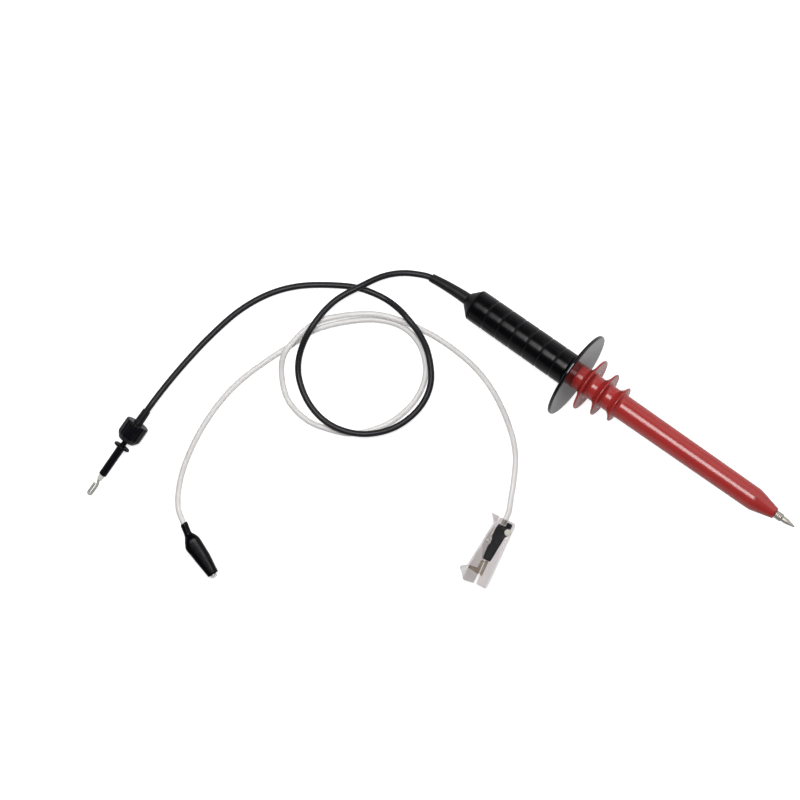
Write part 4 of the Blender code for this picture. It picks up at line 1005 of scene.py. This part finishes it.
# The boot: rounded rectangles |y/w|^n + |z/h|^n = 1 whose sizes follow a smooth curve
# through the stations, outside and back along the inside
def makeBoot():
    outside, inside = curveThrough(bootOutside, perSpan=8), curveThrough(bootInside, perSpan=6)
    x, wide, high, square, side = (column[:, None] for column in np.vstack([outside, inside]).T)
    a = np.linspace(0, 2 * np.pi, bootSize["around"], endpoint=False)[None, :] - np.pi / 2
    y = wide * np.sign(np.cos(a)) * np.abs(np.cos(a)) ** (2 / square) + side
    z = high * np.sign(np.sin(a)) * np.abs(np.sin(a)) ** (2 / square)
    grid = np.stack([x + 0 * y, y, z], -1)
    return surfacePiece("clipBoot", placed(grid, crocodileAxes), closed=True)


# Rounded copies of CAD nodes, each with its name, the width of its rounds in
# millimetres and their rows of faces, the angle they start from, finish, body and slot
def addCopies(pieces):
    for node, (name, bevel, segments, sharp, finishName, body, slot) in pieces.items():
        dress(roundedCopy(name, node, bevel, segments, sharp), finishName, body, node)


crocodileJaws = {
    "crocodile_fixed_jaw": ("fixedJawSheet", 0.1, 3, 30, "jawSteel", "probe", "steel"),
    "crocodile_moving_jaw": ("movingJawSheet", 0.1, 3, 30, "jawSteel", "crocodile_jaw", "steel"),
}
boot = makeBoot()
dress(boot, "bootVinyl", None, "crocodile_boot")
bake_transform(boot)
addCopies(crocodileJaws)
print("crocodile clip made")


# Clear clip

clearClip = {
    "clear_clip_fixed_lever":
        ("fixedLever", 0.35, 4, 30, "clearPlastic", "probe", "clear_plastic"),
    "clear_clip_moving_lever":
        ("pressLever", 0.3, 4, 30, "clearPlastic", "clip_lever", "clear_plastic"),
    "clear_clip_core": ("clipCore", 0.35, 3, 30, "coreBlack", "probe", "core_plastic"),
    "clear_clip_fixed_jaw": ("clipFixedJaw", 0.12, 2, 30, "jawBrass", "probe", "brass"),
    "clear_clip_moving_jaw": ("clipMovingJaw", 0.12, 2, 30, "jawBrass", "clip_lever", "brass"),
    "clear_clip_screw": ("clipScrew", 0.2, 3, 50, "screwWhite", "probe", "screw_plastic"),
}
addCopies(clearClip)
print("clear clip made")

# CAD nodes that keep their shape and get a finish
nodeFinishes = {
    "plainBrass": ("cable_crimp", "insulator_nut", "shield_tube"),
    "springSteel": ("contact_spring", "crocodile_spring", "clear_clip_spring", "crocodile_pin"),
    "hookMetal": ("clear_clip_pin",),
    "tinnedCopper": ("divider_lead_wire", "crocodile_ferrule", "clear_clip_ferrule"),
    "resistorBlue": ("divider_resistor",),
    "tipNickel": ("resistor_rear_cap", "resistor_front_cap"),
    "pottingResin": ("network_potting",),
    "boardGreen": ("network_board",),
    "trimmerWhite": ("trimmer_capacitor",),
}
for finishName, nodes in nodeFinishes.items():
    for node in nodes:
        slots = frame["nodes"][node].data.materials
        slots.clear()
        slots.append(materials[finishName])


# Cords: a route's points are x from the guard's rear face, y and height, in millimetres

cordSize = {
    "cableDiameter": 4.8, "cableLength": 652.6, "leadDiameter": 4.4, "leadLength": 772.8,
    "lowest": 0.05, "step": 1.5, "easing": 4, "around": 24,
}
signalRoute = [
    (-138.0, -5.2, 2.7), (-148.1, -10.8, 2.5), (-159.4, -21.4, 4.4), (-170.1, -39.7, 8.2),
    (-179.3, -59.9, 9.0), (-181.7, -85.9, 11.3), (-177.6, -107.2, 6.6), (-169.2, -120.9, 4.6),
    (-153.5, -132.3, 5.6), (-137.9, -137.2, 7.2), (-122.9, -137.0, 7.4), (-104.0, -129.5, 7.4),
    (-88.9, -114.7, 7.0), (-81.8, -99.2, 6.9), (-79.9, -82.1, 6.6), (-84.6, -66.2, 6.8),
    (-99.9, -49.4, 7.4), (-112.3, -42.5, 9.2), (-124.2, -38.7, 10.3), (-136.2, -36.0, 6.6),
    (-149.9, -35.7, 2.5), (-169.4, -40.3, 2.5), (-183.0, -47.3, 2.5), (-207.5, -65.1, 2.5),
    (-222.5, -82.8, 2.5), (-233.9, -106.4, 2.5), (-241.0, -136.7, 3.2), (-244.8, -166.3, 6.4),
    (-246.2, -188.0, 11.0),
]
groundRoute = [
    (-184.6, -256.7, 3.6), (-196.2, -237.9, 2.3), (-204.4, -206.6, 2.3), (-206.0, -172.7, 2.3),
    (-202.4, -148.8, 2.3), (-195.4, -126.7, 2.3), (-187.4, -106.7, 2.3), (-177.8, -84.1, 2.3),
    (-152.2, -57.2, 2.3), (-138.4, -49.0, 2.3), (-126.0, -45.4, 2.3), (-113.4, -46.6, 2.3),
    (-101.9, -52.3, 2.3), (-90.8, -64.5, 2.3), (-86.0, -82.4, 2.3), (-88.9, -102.8, 2.3),
    (-96.6, -118.4, 2.3), (-111.0, -134.2, 2.3), (-127.8, -141.5, 2.3), (-143.5, -145.1, 2.3),
    (-165.0, -140.9, 2.3), (-181.5, -126.0, 3.4), (-187.2, -114.6, 6.9), (-187.0, -102.3, 7.3),
    (-181.4, -80.6, 6.0), (-155.7, -54.2, 6.0), (-140.4, -45.6, 6.0), (-125.0, -41.1, 5.2),
    (-112.3, -38.4, 3.0), (-97.8, -36.8, 2.3), (-68.8, -37.8, 2.3), (-46.5, -43.4, 2.3),
    (-23.8, -54.9, 2.3), (-2.2, -72.0, 2.3), (10.2, -91.2, 3.6), (16.9, -105.0, 5.4),
]


# The route's points in metres, moved along X by the place of the guard's rear face
def routePlaces(route):
    return np.array(route) * mm + np.array([probeAxes[0][0], 0, 0])


# A cord's middle line: the curve through its places, read at even steps, kept off the
# table and eased by a short moving average that leaves the ends alone
def cordLine(places, radius):
    line = curveThrough(places, perSpan=24)
    line[:, 2] = np.maximum(line[:, 2], radius + cordSize["lowest"] * mm)
    along = lengthAlong(line)
    count = int(along[-1] / (cordSize["step"] * mm))
    even = np.linspace(0, along[-1], count)
    line = np.stack([np.interp(even, along, column) for column in line.T], -1)
    reach = cordSize["easing"]
    weights = np.hanning(2 * reach + 3)[1:-1]
    weights /= weights.sum()
    padded = np.pad(line, ((reach, reach), (0, 0)), mode="reflect", reflect_type="odd")
    return np.stack([np.convolve(column, weights, mode="valid") for column in padded.T], -1)


# A cord: a tube round its middle line, which comes back too
def makeCord(name, places, diameter, finishName, node):
    radius = 0.5 * diameter * mm
    line = cordLine(np.array(places), radius)
    cord = tubePiece(name, line, radius, cordSize["around"])
    dress(cord, finishName, "probe", node)
    return cord, line


# The place s along the bent strain relief sleeve
def sleevePlace(s):
    return placed([(s, float(sleeveShift(np.array(s))), 0)], probeAxes)[0]


# The cable: from inside the handle through its sleeve, along the route and into the
# hook clip's sleeve. Places past the two sleeves keep it straight there.
cableEnds = {"inside": -80.4, "pastSleeve": 2.0, "beforeHook": 4.0}
handleEnd = -handleSize["length"]
sleeveEnd = sleeveSize["end"]
hookStart, hookEnd = hookSleeveEnds()
hookPlaces = [(hookEnd - cableEnds["beforeHook"], 0, 0), (hookEnd, 0, 0), (hookStart, 0, 0)]
signalPlaces = [placed([(cableEnds["inside"], 0, 0)], probeAxes)[0], sleevePlace(handleEnd)]
signalPlaces += [sleevePlace(0.5 * (sleeveEnd + handleEnd)), sleevePlace(sleeveEnd)]
signalPlaces += [sleevePlace(sleeveEnd - cableEnds["pastSleeve"])]
signalPlaces += [*routePlaces(signalRoute), *placed(hookPlaces, hookAxes)]
signalCable, signalLine = makeCord(
    "signalCableSheath", signalPlaces, cordSize["cableDiameter"],
    "cableSheath", "signal_cable",
)

# The lead: from behind the crocodile clip's ferrule, which stays clear of the moving
# jaw's tail, through the boot's leaning neck, along the route and into the clear clip
leadEnds = {
    "jawTail": (7.8, 4.1), "gap": 0.3, "ferruleLength": 6.0, "neckEnd": -24.0, "pastNeck": 3.0,
    "beforeClip": 6.0,
}
clipLine = {"angle": -79.5, "pivot": (20.0, -4.9), "leadSide": 0.9, "ferruleRear": 1.0}
clipAxes = turnedFrame(joints["clear_clip_hinge"]["pos_m"], clipLine["angle"])
clipAxes[0] -= (clipAxes[1] * clipLine["pivot"][0] + clipAxes[2] * clipLine["pivot"][1]) * mm


# The place s along the boot's neck, which leans sideways from leanStart on
def neckPlace(s):
    return (s, bootSize["lean"] * max(bootSize["leanStart"] - s, 0.0), 0)


gap, neckEnd = leadEnds["gap"], leadEnds["neckEnd"]
ferruleRear = -math.hypot(*leadEnds["jawTail"]) - gap - leadEnds["ferruleLength"]
leadStart = ferruleRear - gap - bootSize["lean"] * (0.5 * cordSize["leadDiameter"])
neckStops = (leadStart, 0.5 * (leadStart + neckEnd), neckEnd, neckEnd - leadEnds["pastNeck"])
clipPlaces = [
    (-leadEnds["beforeClip"], clipLine["leadSide"], 0),
    (clipLine["ferruleRear"] - gap, clipLine["leadSide"], 0),
]
groundPlaces = [*placed([neckPlace(s) for s in neckStops], crocodileAxes)]
groundPlaces += [*routePlaces(groundRoute), *placed(clipPlaces, clipAxes)]
groundLead, groundLine = makeCord(
    "groundLeadSheath", groundPlaces, cordSize["leadDiameter"],
    "leadSilicone", "ground_lead",
)
print("cords laid")

makeCamera()
makeSky()
makeFloor()
areaLight("softbox")
areaLight("fill")
bpy.context.scene.view_settings.view_transform = "Standard"
print("camera, floor and light set")
